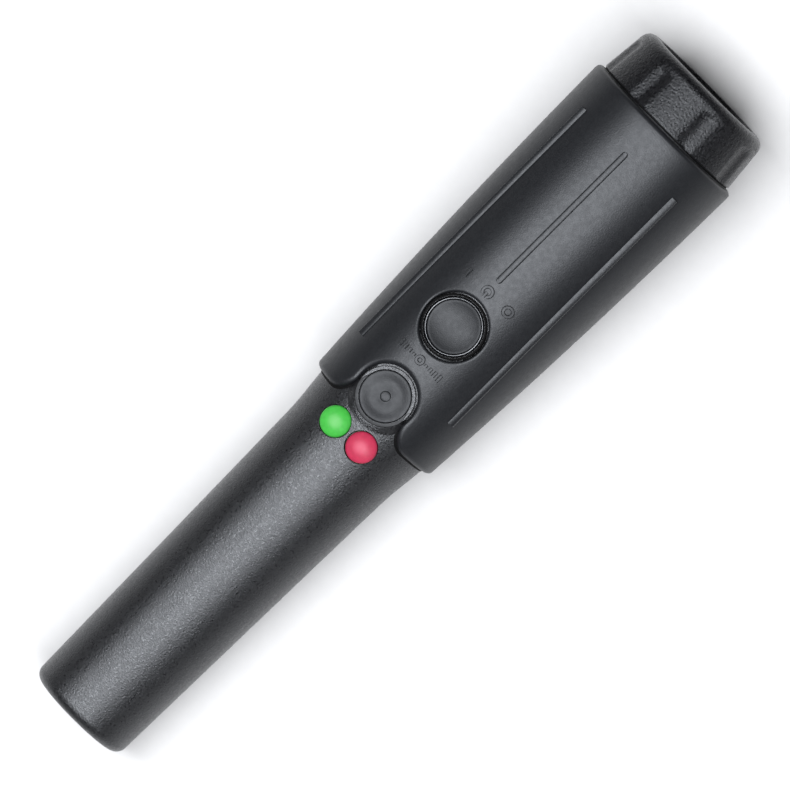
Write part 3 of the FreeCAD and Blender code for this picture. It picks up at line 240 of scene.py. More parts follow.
def grip_column(column):
    """Points of one column of the skin from rear to front, and those of the inner face."""
    share = min(abs(column) / FAN_COLUMNS, 1.0)
    sign = -1 if column < 0 else 1
    fan = math.radians(FAN_HALF)
    fans_out = abs(column) <= FAN_COLUMNS
    if fans_out:
        angle = fan * share * sign
    else:
        angle = (fan + (math.pi - fan) * (abs(column) - FAN_COLUMNS) / SIDE_COLUMNS) * sign
    rear = reversed(round_steps(REAR_ROUND, REAR_STEPS))
    outer = [at_angle(SLEEVE_REAR + d, angle, depth) for d, depth in rear]
    straight = list(np.linspace(SLEEVE_REAR + REAR_ROUND, BLOCK_REAR, PLAIN_ROWS))
    straight += list(np.linspace(BLOCK_REAR, FAN_START, BLOCK_ROWS + 1))[1:]
    outer += [at_angle(station, angle) for station in straight]
    inner = [at_angle(SLEEVE_REAR, angle, SLEEVE_WALL)]
    inner += [at_angle(station, angle, SLEEVE_WALL) for station in straight]
    steps = round_steps(FRONT_ROUND, FRONT_STEPS)
    if not fans_out:
        front = SLEEVE_FRONT - FRONT_ROUND
        for station in np.linspace(FAN_START, front, FAN_ROWS)[1:]:
            outer.append(at_angle(station, angle))
            inner.append(at_angle(station, angle, SLEEVE_WALL))
        outer += [at_angle(SLEEVE_FRONT - d, angle, depth) for d, depth in steps]
        inner.append(at_angle(SLEEVE_FRONT, angle, SLEEVE_WALL))
        return outer, inner
    x, y, out = EDGE.at(share)
    swing = EDGE.swing(share)
    start = (FAN_START, barrel(FAN_START) * math.sin(fan * share))
    end = (x - FRONT_ROUND * out[0], y - FRONT_ROUND * out[1])
    pull = math.hypot(end[0] - start[0], end[1] - start[1])
    arrive = min(pull, FAN_ARRIVE)
    for i in range(1, FAN_ROWS):
        f = i / (FAN_ROWS - 1)
        leave_part = f**3 - 2 * f**2 + f
        end_part = 3 * f**2 - 2 * f**3
        arrive_part = f**3 - f**2
        px = start[0] + (end[0] - start[0]) * end_part
        px += pull * FAN_LEAVE * leave_part + arrive * out[0] * arrive_part
        py = start[1] + (end[1] - start[1]) * end_part + arrive * out[1] * arrive_part
        outer.append(on_skin(px, py * sign, 0, swing))
        inner.append(on_skin(px, py * sign, SLEEVE_WALL, smooth(f) * swing + 1 - smooth(f)))
    for d, depth in steps:
        outer.append(on_skin(x - d * out[0], (y - d * out[1]) * sign, depth, swing))
    inner.append(on_skin(x, y * sign, SLEEVE_WALL, swing))
    return outer, inner


EDGE = FrontEdge()


def make_grip(material):
    """The rubber grip: skin, rounded edges, key window and inner face in one closed mesh."""
    shell = Shell()
    span = range(-FAN_COLUMNS - SIDE_COLUMNS, FAN_COLUMNS + SIDE_COLUMNS)
    outer = []
    inner = []
    for column in span:
        skin, lining = grip_column(column)
        outer.append([shell.point(*p) for p in skin])
        inner.append([shell.point(*p) for p in lining])
    count = len(span)
    block_start = REAR_STEPS + PLAIN_ROWS - 1
    block = (block_start, block_start + BLOCK_ROWS)
    middle = FAN_COLUMNS + SIDE_COLUMNS
    first, last = middle - BLOCK_COLUMNS, middle + BLOCK_COLUMNS

    def quads(columns, rows, flip):
        """Quads of a whole face of the grip, apart from the window's block."""
        for i in range(count):
            j = (i + 1) % count
            for k in range(len(columns[0]) - 1):
                if rows[0] <= k < rows[1] and first <= i < last:
                    continue
                corners = (columns[i][k], columns[i][k + 1], columns[j][k + 1], columns[j][k])
                shell.face(*(reversed(corners) if flip else corners))

    quads(outer, block, False)
    inner_block = (PLAIN_ROWS, PLAIN_ROWS + BLOCK_ROWS)
    quads(inner, inner_block, True)
    for i in range(count):
        j = (i + 1) % count
        shell.face(inner[i][0], outer[i][0], outer[j][0], inner[j][0])
        shell.face(outer[i][-1], inner[i][-1], inner[j][-1], outer[j][-1])

    def rim(columns, rows):
        """Point numbers round the window's block, starting at its rear corner."""
        low, high = rows
        loop = [columns[i][low] for i in range(first, last)]
        loop += [columns[last][k] for k in range(low, high)]
        loop += [columns[i][high] for i in range(last, first, -1)]
        loop += [columns[first][k] for k in range(high, low, -1)]
        return loop

    steps = [(WINDOW_ROUND, 0.0)] + round_steps(WINDOW_ROUND, WINDOW_STEPS)
    walls = []
    for columns, rows, is_skin in ((outer, block, True), (inner, inner_block, False)):
        loop = rim(columns, rows)
        rings = [loop]
        ways = []
        for number in loop:
            station, y, z = shell.points[number]
            ways.append((station - POWER_STATION, y))
        for i in range(1, BLEND_ROWS):
            f = i / BLEND_ROWS
            ring = []
            for dx, dy in ways:
                reach = math.hypot(dx, dy)
                at = reach + (WINDOW_RADIUS + WINDOW_ROUND - reach) * f
                spot = (POWER_STATION + dx / reach * at, dy / reach * at)
                ring.append(shell.point(*on_skin(*spot, 0 if is_skin else SLEEVE_WALL)))
            rings.append(ring)
        for d, depth in steps if is_skin else [(0, SLEEVE_WALL)]:
            ring = []
            for dx, dy in ways:
                reach = math.hypot(dx, dy)
                at = WINDOW_RADIUS + d
                spot = (POWER_STATION + dx / reach * at, dy / reach * at)
                ring.append(shell.point(*on_skin(*spot, depth)))
            rings.append(ring)
        walls.append(rings[-1])
        shell.rows(rings if is_skin else rings[::-1], closed=True)
    shell.rows(walls, closed=True)
    # the underside is flat where the grip stands on the floor
    back = PROBE.inverted()
    flattened = []
    for station, y, z in shell.points:
        spot = PROBE @ Vector((station, y, z))
        spot.z = max(spot.z, 0.0)
        flattened.append(tuple(back @ spot))
    shell.points = flattened
    shell.build("rubber_grip", material, "case", ["grip_sleeve"])


# ---------------------------------------------------------------- ribs and marks

RIB_REAR = 26.8
TOP_RIB_FRONT = 75.9
TOP_RIB_END = 0.95                   # length of the top rib's round ends
SIDE_RIB_FRONT = 112.2
SIDE_RIB_EDGE = 16.4                 # y of a side rib's inner edge
SIDE_RIB_WIDTH = 1.7
SIDE_RIB_STEPS = 7
END_STEPS = 6
LAMP_STATION = 105.2
RAY_PLACES = (2.3, 3.9, 5.5, 7.1)    # y of the rays on each side of the lamp
POWER_MARK_STATION = 79.45
MARK_PITCH = 7.6                     # from the middle mark to those beside it
RIB_STEP = 1.5
MARK_STEP = 0.5


def skin_height(station, y):
    """Height of the grip's skin over a plan point."""
    return math.sqrt(barrel(station) ** 2 - y * y)


def ridge(shell, path, profile, closed=False):
    """A raised line on the skin.  The path holds (station, y, width scale) and the
    profile (offset to the left, height above the skin) from its left foot to its right."""
    rows = []
    count = len(path)
    for i, (station, y, scale) in enumerate(path):
        before = path[i - 1] if closed else path[max(i - 1, 0)]
        after = path[(i + 1) % count] if closed else path[min(i + 1, count - 1)]
        way = Vector((after[0] - before[0], after[1] - before[1])).normalized()
        row = []
        for offset, height in profile:
            spot = (station - way.y * offset * scale, y + way.x * offset * scale)
            row.append(shell.point(*spot, skin_height(*spot) + height))
        rows.append(row)
    if closed:
        rows.append(rows[0])
    for low, high in zip(rows, rows[1:]):
        for i in range(len(profile)):
            j = (i + 1) % len(profile)
            shell.face(low[j], low[i], high[i], high[j])
    if not closed:
        shell.face(*rows[0])
        shell.face(*reversed(rows[-1]))


def straight_path(first, last, y, step, end_length=0.0):
    """Along the grip at one y, with square ends or with round ends of a length."""
    path = []
    if end_length:
        for i in range(1, END_STEPS):
            turn = math.pi / 2 * i / END_STEPS
            path.append((first + end_length * (1 - math.cos(turn)), y, math.sin(turn)))
    inner_first, inner_last = first + end_length, last - end_length
    count = max(2, round((inner_last - inner_first) / step) + 1)
    path += [(station, y, 1.0) for station in np.linspace(inner_first, inner_last, count)]
    if end_length:
        rear_end = path[: END_STEPS - 1]
        path += [(first + last - station, y, scale) for station, y, scale in reversed(rear_end)]
    return path


def arc_path(station, y, radius, start, turn, count):
    """Round a centre in plan; a full turn leaves out its last point."""
    path = []
    steps = count if abs(turn) >= 360 else count - 1
    for i in range(count):
        angle = math.radians(start + turn * i / steps)
        path.append((station + radius * math.cos(angle), y + radius * math.sin(angle), 1.0))
    return path


def make_ribs(material):
    """One round-ended rib along the top and a square-ended rib down each side."""
    shell = Shell()
    top = [(0.98, -0.3), (0.86, 0.12), (0.72, 0.42), (0.55, 0.52)]
    top = top + [(0.0, 0.55)] + [(-x, z) for x, z in reversed(top)]
    ridge(shell, straight_path(RIB_REAR, TOP_RIB_FRONT, 0, RIB_STEP, TOP_RIB_END), top)
    width = SIDE_RIB_WIDTH
    for side in (1, -1):
        profile = [(-0.02, -0.4), (0.0, 0.1)]
        for i in range(SIDE_RIB_STEPS + 1):
            share = 0.04 + 0.92 * i / SIDE_RIB_STEPS
            profile.append((share * width, 0.16 + 1.66 * share - 0.5 * share**2))
        profile += [(width, 1.15), (width + 0.05, -0.4)]
        if side < 0:
            profile = [(-offset, height) for offset, height in reversed(profile)]
        path = straight_path(RIB_REAR, SIDE_RIB_FRONT, SIDE_RIB_EDGE * side, RIB_STEP)
        ridge(shell, path, profile)
    shell.build("grip_ribs", material, "case", ["grip_sleeve"], sharp=28)


def make_marks(material):
    """Plain raised symbols: lamp and rays by the light key; bar, power ring and circle."""
    shell = Shell()
    stroke = [(0.46, -0.2), (0.45, 0.36), (0.3, 0.5)]
    stroke = stroke + [(-x, z) for x, z in reversed(stroke)]
    lamp = LAMP_STATION
    ridge(shell, arc_path(lamp, 0, 1.0, 0, 360, 28), stroke, closed=True)
    for y in RAY_PLACES:
        for side in (-1, 1):
            reach = 0.35 + 0.16 * (y - RAY_PLACES[0])
            ridge(shell, straight_path(lamp - reach, lamp + reach, y * side, MARK_STEP), stroke)
    power = POWER_MARK_STATION
    ridge(shell, arc_path(power, 0, 1.4, 35, 290, 30), stroke)
    ridge(shell, straight_path(power + 0.2, power + 1.7, 0, MARK_STEP), stroke)
    ridge(shell, straight_path(power - 1.3, power + 1.3, -MARK_PITCH, MARK_STEP), stroke)
    ridge(shell, arc_path(power, MARK_PITCH, 1.3, 0, 360, 30), stroke, closed=True)
    shell.build("grip_marks", material, "case", ["grip_sleeve"], sharp=28)


# ---------------------------------------------------------------- butt cap

CAP_FRONT = 15.3
CAP_FRONT_RADIUS = 23.3
CAP_REAR_RADIUS = 22.1
CAP_ROUND = 3.2
CAP_BORE = 21.4
CAP_FLOOR = 3.0
CAP_WINDOW = 14.2
CAP_LIP = 17.1
FLUTES = 8
FLUTE_WIDTH = 7.4
FLUTE_DEPTH = 0.72
CAP_COLUMNS = 400
CAP_ROUND_STEPS = 9


def make_cap(material):
    """The fluted butt cap, with its recessed end and the torch window."""
    shell = Shell()
    slope = (CAP_FRONT_RADIUS - CAP_REAR_RADIUS) / (CAP_FRONT - CAP_ROUND)
    # station, radius, share of the flutes' depth
    profile = [(CAP_FRONT, CAP_BORE, 0), (CAP_FRONT, 22.4, 0), (CAP_FRONT, 22.95, 0.3)]
    profile += [(CAP_FRONT - 0.09, 23.16, 0.7), (CAP_FRONT - 0.3, 23.26, 1)]
    for station in np.linspace(CAP_FRONT - 0.7, 6.0, 8):
        profile.append((station, CAP_REAR_RADIUS + slope * (station - CAP_ROUND), 1))
    for station in np.linspace(5.6, CAP_ROUND, 7):
        fade = smooth((station - 3.3) / 2.0)
        profile.append((station, CAP_REAR_RADIUS + slope * (station - CAP_ROUND), fade))
    corner = CAP_REAR_RADIUS - CAP_ROUND
    for i in range(1, CAP_ROUND_STEPS + 1):
        turn = math.pi / 2 * i / CAP_ROUND_STEPS
        profile.append((CAP_ROUND * (1 - math.sin(turn)), corner + CAP_ROUND * math.cos(turn), 0))
    profile += [(0, CAP_LIP + 0.3, 0), (0.09, CAP_LIP + 0.09, 0), (0.3, CAP_LIP, 0)]
    profile += [(0.8, CAP_LIP - 0.1, 0), (0.98, CAP_LIP - 0.35, 0), (1.0, CAP_LIP - 0.8, 0)]
    profile += [(1.0, CAP_WINDOW + 0.4, 0), (1.12, CAP_WINDOW + 0.12, 0), (1.4, CAP_WINDOW, 0)]
    profile += [(CAP_FLOOR, CAP_WINDOW, 0), (CAP_FLOOR, CAP_BORE, 0)]
    pitch = 2 * math.pi / FLUTES
    rows = []
    for station, radius, weight in profile:
        row = []
        for i in range(CAP_COLUMNS):
            angle = 2 * math.pi * i / CAP_COLUMNS
            off = abs((angle / pitch) % 1 - 0.5) * pitch * radius
            valley = 0.5 + 0.5 * math.cos(math.pi * min(off / (FLUTE_WIDTH / 2), 1.0))
            here = radius - FLUTE_DEPTH * weight * valley
            row.append(shell.point(station, here * math.sin(angle), here * math.cos(angle)))
        rows.append(row)
    shell.rows(rows + rows[:1], closed=True)
    shell.build("fluted_cap", material, "cap", ["butt_cap"])


# ---------------------------------------------------------------- keys and lenses


def lathe(shell, station, y, profile, columns):
    """A turned shape about an upright axis; the profile (radius, height) starts and ends on it."""
    rows = []
    for radius, height in profile:
        if radius == 0:
            rows.append([shell.point(station, y, height)] * columns)
            continue
        rows.append(shell.ring(station, y, radius, height, columns))
    shell.rows(rows, closed=True)


def lowest(name):
    """Lowest height of a CAD node in the probe's frame, in millimetres."""
    back = PROBE.inverted()
    return min((back @ vertex.co).z for vertex in nodes[name].data.vertices)


KEY_COLUMNS = 128
KEY_FLANGE_TOP = 14.75
KEY_FLANGE = 0.9
STEM_RADIUS = 2.0
POWER_TOP = 21.75
POWER_RADIUS = 8.2
POWER_FLANGE = 8.9
POWER_DISH = 1.5                     # depth of the face's middle under the rim
POWER_RISE = 0.88                    # how far the face comes up towards its edge
RIM_MIDDLE = 7.72                    # radius of the middle of the power key's glossy crest
RIM_HEIGHT = 21.68
RIM_ROUND = 0.2
RIM_SIDES = 10
LIGHT_TOP = 19.45
LIGHT_RADIUS = 7.18
LIGHT_FLANGE = 8.15
LIGHT_DISH = 0.4
FACE_STEPS = 12
LENS_STATION = 133.3
LENS_PITCH = 9.85
LENS_RADIUS = 4.32
LENS_FOOT = 14.9
LENS_RIM = 17.1
LENS_RISE = 1.6
LENS_COLUMNS = 72


def key_foot(name, radius, flange):
    """The hidden lower part of a key: stem, flange and the start of its side."""
    low = lowest(name)
    return [
        (0, low), (STEM_RADIUS, low), (STEM_RADIUS, KEY_FLANGE_TOP - KEY_FLANGE),
        (flange, KEY_FLANGE_TOP - KEY_FLANGE), (flange, KEY_FLANGE_TOP), (radius, KEY_FLANGE_TOP),
    ]


def make_power_key(material):
    """A round key with a thin raised rim and a dished face."""
    shell = Shell()
    top = POWER_TOP
    radius = POWER_RADIUS
    profile = key_foot("power_key", radius, POWER_FLANGE)
    profile += [(radius, top - 1.3), (radius - 0.06, top - 0.55), (radius - 0.2, top - 0.16)]
    profile += [(radius - 0.42, top), (radius - 0.62, top - 0.03), (radius - 0.76, top - 0.18)]
    profile += [(radius - 0.84, top - 0.5), (radius - 0.95, top - 0.62)]
    face = radius - 1.1
    for i in range(FACE_STEPS + 1):
        share = 1 - i / FACE_STEPS
        profile.append((face * share, top - POWER_DISH + POWER_RISE * share**2.4))
    lathe(shell, POWER_STATION, 0, profile, KEY_COLUMNS)
    shell.build("power_key_cap", material, "power_button", ["power_key"], sharp=50)


def make_light_key(material):
    """A round key with a wide soft dish and a small raised dot."""
    shell = Shell()
    top = LIGHT_TOP
    radius = LIGHT_RADIUS
    profile = key_foot("light_key", radius, LIGHT_FLANGE)
    profile += [(radius, top - 0.4), (radius - 0.07, top - 0.12), (radius - 0.25, top)]
    floor = top - LIGHT_DISH
    for i in range(1, FACE_STEPS + 1):
        share = i / FACE_STEPS
        profile.append((radius - 0.3 - 3.0 * share, floor + (top - floor) * (1 - smooth(share))))
    profile += [(1.75, floor), (1.6, floor - 0.04), (1.5, floor - 0.02), (1.42, floor + 0.14)]
    profile += [(1.28, floor + 0.21), (0.7, floor + 0.23), (0, floor + 0.24)]
    lathe(shell, LIGHT_STATION, 0, profile, KEY_COLUMNS)
    shell.build("light_key_cap", material, "light_button", ["light_key"], sharp=50)


def make_power_rim(material):
    """The glossy crest of the power key's rim."""
    shell = Shell()
    rings = []
    for k in range(RIM_SIDES):
        turn = 2 * math.pi * k / RIM_SIDES
        radius = RIM_MIDDLE + RIM_ROUND * math.cos(turn)
        height = RIM_HEIGHT + RIM_ROUND * math.sin(turn)
        rings.append(shell.ring(POWER_STATION, 0, radius, height, KEY_COLUMNS))
    shell.rows(rings + rings[:1], closed=True)
    shell.build("power_key_rim", material, "power_button", [], sharp=60)


def make_lens(name, side, material):
    """A flattened dome on a short stem."""
    shell = Shell()
    profile = [(0, LENS_FOOT), (LENS_RADIUS, LENS_FOOT)]
    profile += [(LENS_RADIUS, LENS_RIM), (LENS_RADIUS - 0.05, LENS_RIM + 0.2)]
    for i in range(1, FACE_STEPS + 1):
        share = 1 - i / FACE_STEPS
        height = LENS_RIM + 0.35 + (LENS_RISE - 0.25) * (1 - share**2.3)
        profile.append(((LENS_RADIUS - 0.15) * share, height))
    lathe(shell, LENS_STATION, LENS_PITCH / 2 * side, profile, LENS_COLUMNS)
    shell.build(name + "_dome", material, "case", [name + "_lens"], sharp=60)


# ---------------------------------------------------------------- edges on the case

CORE_FRONT = 121.7
FLARE_END = 127.1
FLARE_RADIUS = 19.1
TUBE_START = 139.0
TUBE_RADIUS = 17.82
FLARE_SLOPE = (FLARE_RADIUS - TUBE_RADIUS) / (TUBE_START - FLARE_END)
WELL_TOP = 19.4
WELL_RADIUS = 7.32
WELL_HALF_TURN = 88                  # degrees each side of the way to the tip
WELL_FADE = 14                       # degrees over which the slope's ends close up
WELL_COLUMNS = 89
WELL_STEPS = 14
WELL_NARROW = 8.4                    # outer radius of the slope at its closed ends
WELL_SPREAD = 2.2                    # how much further out it runs between them
WELL_DEPTH = 0.9
WALL_FLAT = 8.0                      # radius where the wall's flat top ends
WALL_ROUND = 0.32
CROWN_HALF_TURN = 104                # degrees each side of the way to the tip
CROWN_FADE = 34                      # degrees over which the crown's ends thin out
CROWN_COLUMNS = 105
LINE_END = 179.5                     # degrees from the top where both edge lines stop
LOBE_STOPS = 60                      # points of an edge line along lobe and round end
UNDER_STOPS = 70                     # points of an edge line from there to its end


def case_radius(station):
    """Radius of the case's outside from the grip's middle to the start of the tube."""
    core = barrel(CORE_FRONT) - SLEEVE_WALL
    if station < CORE_FRONT:
        return barrel(station) - SLEEVE_WALL
    if station < FLARE_END:
        share = (station - CORE_FRONT) / (FLARE_END - CORE_FRONT)
        return core + (FLARE_RADIUS - core) * share
    return FLARE_RADIUS - FLARE_SLOPE * (station - FLARE_END)


def case_height(station, y):
    """Height of the case's outside over a plan point."""
    return math.sqrt(case_radius(station) ** 2 - y * y)


def make_painted_shade_line(material):
    """A black strip of painted shade where the grip ends on the case: at its front edge and,
    over the case's wall, in the power key's window, where the gap there is in shadow."""
    shell = Shell()
    # radius and height, over the wall round the power key
    wall = [(8.37, 21.3), (8.37, 22.02), (8.57, 22.03), (8.77, 21.97)]
    wall += [(8.94, 21.83), (9.04, 21.6), (9.06, 21.3)]
    rings = [shell.ring(POWER_STATION, 0, *spot, KEY_COLUMNS) for spot in wall]
    shell.rows(rings + rings[:1], closed=True)
    # distance out of the rubber and lift over the case
    profile = [(-0.4, -0.35), (-0.4, 0.3), (0.05, 0.3), (0.42, 0.14), (0.66, 0.03), (0.74, -0.35)]
    stops = []
    for share in np.linspace(EDGE.scallop_run / EDGE.run, 1, LOBE_STOPS):
        stops.append((*EDGE.at(share), EDGE.swing(share)))
    for sign in (-1, 1):
        rows = []
        for x, y, out, swing in stops:
            row = []
            for offset, lift in profile:
                station = x + offset * out[0]
                depth = barrel(station) - case_radius(station) - lift
                place = on_skin(station, (y + offset * out[1]) * sign, depth, swing)
                row.append(shell.point(*place))
            rows.append(row)
        for angle in np.linspace(FAN_HALF, LINE_END, UNDER_STOPS)[1:]:
            row = []
            for offset, lift in profile:
                station = SLEEVE_FRONT + offset
                depth = barrel(station) - case_radius(station) - lift
                row.append(shell.point(*at_angle(station, math.radians(angle) * sign, depth)))
            rows.append(row)
        shell.strip(rows)
    shell.build("grip_edge_painted_shade", material, "case", [], sharp=50)


def make_well_blend(material):
    """Where the light key's wall runs out smoothly into the tube."""
    shell = Shell()
    inner = WELL_RADIUS + 0.02
    tops, feet = [], []
    for i in range(WELL_COLUMNS):
        angle = math.radians(WELL_HALF_TURN * (2 * i / (WELL_COLUMNS - 1) - 1))
        open_share = smooth((WELL_HALF_TURN - abs(math.degrees(angle))) / WELL_FADE)
        outer = WELL_NARROW + WELL_SPREAD * open_share
        top, foot = [], []
        for k in range(WELL_STEPS + 1):
            share = k / WELL_STEPS
            reach = inner + (outer - inner) * share
            spot = (LIGHT_STATION + reach * math.cos(angle), reach * math.sin(angle))
            skin = case_height(*spot)
            drop = smooth((reach - WALL_FLAT) / WALL_ROUND)
            wall = (WELL_TOP + 0.02) * (1 - drop) + (skin - 0.3) * drop
            fall = smooth(share)
            ramp = (WELL_TOP + 0.03) * (1 - fall) + (skin - 0.05) * fall
            height = wall + (ramp - wall) * open_share
            if k == 0:
                height -= 0.14
            top.append(shell.point(*spot, height))
            foot.append(shell.point(*spot, min(height, skin) - WELL_DEPTH))
        tops.append(top)
        feet.append(foot)
    last = WELL_COLUMNS - 1
    for i in range(last):
        for k in range(WELL_STEPS):
            shell.face(tops[i][k], tops[i][k + 1], tops[i + 1][k + 1], tops[i + 1][k])
            shell.face(feet[i][k], feet[i + 1][k], feet[i + 1][k + 1], feet[i][k + 1])
        shell.face(tops[i][0], tops[i + 1][0], feet[i + 1][0], feet[i][0])
        shell.face(tops[i][-1], feet[i][-1], feet[i + 1][-1], tops[i + 1][-1])
    for k in range(WELL_STEPS):
        shell.face(tops[0][k], feet[0][k], feet[0][k + 1], tops[0][k + 1])
        shell.face(tops[last][k], tops[last][k + 1], feet[last][k + 1], feet[last][k])
    shell.build("light_key_well", material, "case", [], sharp=50)


def make_light_rim(material):
    """The smooth crown on the light key's wall; it thins out towards the grip."""
    shell = Shell()
    top = WELL_TOP + 0.06
    # share of the crown's width and drop under its top
    section = ((0, 0.4), (0, 0), (0.8, 0), (0.95, 0.05), (1, 0.16), (1, 0.4))
    rows = []
    for i in range(CROWN_COLUMNS):
        angle = math.radians(CROWN_HALF_TURN * (2 * i / (CROWN_COLUMNS - 1) - 1))
        width = 0.06 + 0.94 * smooth((CROWN_HALF_TURN - abs(math.degrees(angle))) / CROWN_FADE)
        row = []
        for share, drop in section:
            reach = WELL_RADIUS + 0.01 + width * share
            spot = (LIGHT_STATION + reach * math.cos(angle), reach * math.sin(angle))
            row.append(shell.point(*spot, top - drop))
        rows.append(row)
    shell.strip(rows)
    shell.build("light_key_rim", material, "case", [], sharp=50)


# ---------------------------------------------------------------- materials


class Finish:
    """A principled material whose colour, roughness and bump come from patterns."""

    LOW, HIGH = 0.35, 0.65           # the part of a noise's range that is used
    FIRST, SECOND, MIXED = 6, 7, 2   # the colour sockets of a Mix node

    def __init__(self, name, metallic=0.0, specular=0.5):
        self.material = bpy.data.materials.new(name)
        self.material.use_nodes = True
        self.tree = self.material.node_tree
        self.shader = self.tree.nodes["Principled BSDF"]
        self.shader.inputs["Metallic"].default_value = metallic
        self.shader.inputs["Specular IOR Level"].default_value = specular
        self.coords = self.tree.nodes.new("ShaderNodeTexCoord").outputs["Object"]

    def node(self, kind, **settings):
        """A new node with its settings."""
        node = self.tree.nodes.new(kind)
        for key, value in settings.items():
            setattr(node, key, value)
        return node

    def link(self, source, target):
        """Joins two sockets."""
        self.tree.links.new(source, target)

    def spot(self, stretch=(1, 1, 1)):
        """Object coordinates, stretched."""
        mapping = self.node("ShaderNodeMapping", vector_type="POINT")
        mapping.inputs["Scale"].default_value = stretch
        self.link(self.coords, mapping.inputs["Vector"])
        return mapping.outputs["Vector"]

    def noise(self, size, detail=2.0, rough=0.5, stretch=(1, 1, 1)):
        """Soft noise whose blobs are about size millimetres."""
        node = self.node("ShaderNodeTexNoise")
        node.inputs["Scale"].default_value = 1000 / size
        node.inputs["Detail"].default_value = detail
        node.inputs["Roughness"].default_value = rough
        self.link(self.spot(stretch), node.inputs["Vector"])
        return node.outputs["Fac"]

    def cells(self, size, feature="F1"):
        """Round cells of about size millimetres."""
        node = self.node("ShaderNodeTexVoronoi", feature=feature)
        node.inputs["Scale"].default_value = 1000 / size
        self.link(self.spot(), node.inputs["Vector"])
        return node.outputs["Distance"]

    def bands(self, size):
        """Light and dark bands across the probe's length, each of a size in millimetres."""
        node = self.node("ShaderNodeTexWave", wave_type="BANDS", bands_direction="X")
        node.inputs["Scale"].default_value = 1000 / size / 20 * math.pi
        self.link(self.spot(), node.inputs["Vector"])
        return node.outputs["Fac"]

    def remap(self, source, low, high, out_low, out_high):
        """Carries one range over to another, and holds the ends."""
        node = self.node("ShaderNodeMapRange", clamp=True)
        node.inputs["From Min"].default_value = low
        node.inputs["From Max"].default_value = high
        node.inputs["To Min"].default_value = out_low
        node.inputs["To Max"].default_value = out_high
        self.link(source, node.inputs["Value"])
        return node.outputs["Result"]

    def blend(self, share, first, second):
        """Mixes two colours, or sockets that carry one."""
        node = self.node("ShaderNodeMix", data_type="RGBA")
        self.link(share, node.inputs["Factor"])
        for number, value in ((self.FIRST, first), (self.SECOND, second)):
            if isinstance(value, tuple):
                node.inputs[number].default_value = (*value, 1)
            else:
                self.link(value, node.inputs[number])
        return node.outputs[self.MIXED]

    def colour(self, source, dark, light, low=LOW, high=HIGH):
        """Paints the base colour between two colours."""
        mixed = self.blend(self.remap(source, low, high, 0.0, 1.0), dark, light)
        self.link(mixed, self.shader.inputs["Base Color"])

    def roughness(self, source, smoothest, roughest):
        """Lets the roughness follow a pattern."""
        value = self.remap(source, self.LOW, self.HIGH, smoothest, roughest)
        self.link(value, self.shader.inputs["Roughness"])

    def bump(self, source, depth):
        """Bump of a depth in millimetres, over any bump made before."""
        node = self.node("ShaderNodeBump")
        node.inputs["Strength"].default_value = 1.0
        node.inputs["Distance"].default_value = depth * 0.001
        self.link(source, node.inputs["Height"])
        if self.shader.inputs["Normal"].links:
            self.link(self.shader.inputs["Normal"].links[0].from_socket, node.inputs["Normal"])
        self.link(node.outputs["Normal"], self.shader.inputs["Normal"])


COOL = (0.93, 0.96, 1.0)             # the black plastics and rubbers reflect a little bluish


def grained(name, dark, light, grain, depth, roughness, specular=0.5, metallic=0.0, tint=None):
    """Moulded, sintered or plated stock: a fine grain, and roughness that varies slowly."""
    finish = Finish(name, metallic, specular)
    if tint:
        finish.shader.inputs["Specular Tint"].default_value = (*tint, 1)
    fine = finish.noise(grain, 3.0, 0.6)
    finish.colour(fine, dark, light)
    finish.roughness(finish.noise(grain * 3, 3.0), roughness - 0.03, roughness + 0.03)
    finish.bump(fine, depth)
    return finish.material


def sparked(name, dark, light, grain, depth, roughness, specular):
    """Black plastic from a spark-eroded mould: a skin of small rounded pits with bright rims."""
    finish = Finish(name, specular=specular)
    finish.shader.inputs["Specular Tint"].default_value = (*COOL, 1)
    pits = finish.cells(grain, "SMOOTH_F1")
    speckle = finish.noise(grain * 0.8, 4.0, 0.75)
    finish.colour(speckle, dark, light)
    finish.roughness(finish.noise(grain * 1.6, 3.0, 0.7), roughness - 0.12, roughness + 0.12)
    finish.bump(pits, depth)
    finish.bump(speckle, depth)
    return finish.material


# painted light: each lens's middle is painted paler, standing in for light shining back through it from the lamp
# under it
PAINTED_GLOW_HEIGHT = 18.7
PAINTED_GLOW_INNER = 0.0012                  # metres from the lens's middle where the paler painted light ends
PAINTED_GLOW_OUTER = 0.0024                  # metres from it where the deep colour is reached


def make_lens_finish(name, deep, pale, side):
    """Coloured translucent plastic, with painted light: paler over the lamp under its middle, where light comes
    back through the lens.
    """
    finish = Finish(name, specular=0.22)
    centre = PROBE @ Vector((LENS_STATION, LENS_PITCH / 2 * side, PAINTED_GLOW_HEIGHT))
    distance = finish.node("ShaderNodeVectorMath", operation="DISTANCE")
    finish.link(finish.coords, distance.inputs[0])
    distance.inputs[1].default_value = centre
    # painted light: the colour grows paler towards the lens's middle
    painted_glow = finish.remap(distance.outputs["Value"], PAINTED_GLOW_INNER, PAINTED_GLOW_OUTER, 1.0, 0.0)
    cloud = finish.remap(finish.noise(1.1, 3.0), 0.3, 0.7, 0.0, 1.0)
    body = finish.blend(cloud, deep, tuple(c * 1.18 for c in deep))
    finish.link(finish.blend(painted_glow, body, pale), finish.shader.inputs["Base Color"])
    finish.shader.inputs["Subsurface Weight"].default_value = 0.25
    finish.shader.inputs["Subsurface Radius"].default_value = (0.001, 0.001, 0.001)
    finish.shader.inputs["Subsurface Scale"].default_value = 1.0
    finish.roughness(finish.noise(2.0), 0.46, 0.56)
    finish.bump(finish.noise(0.5, 2.0), 0.006)
    return finish.material


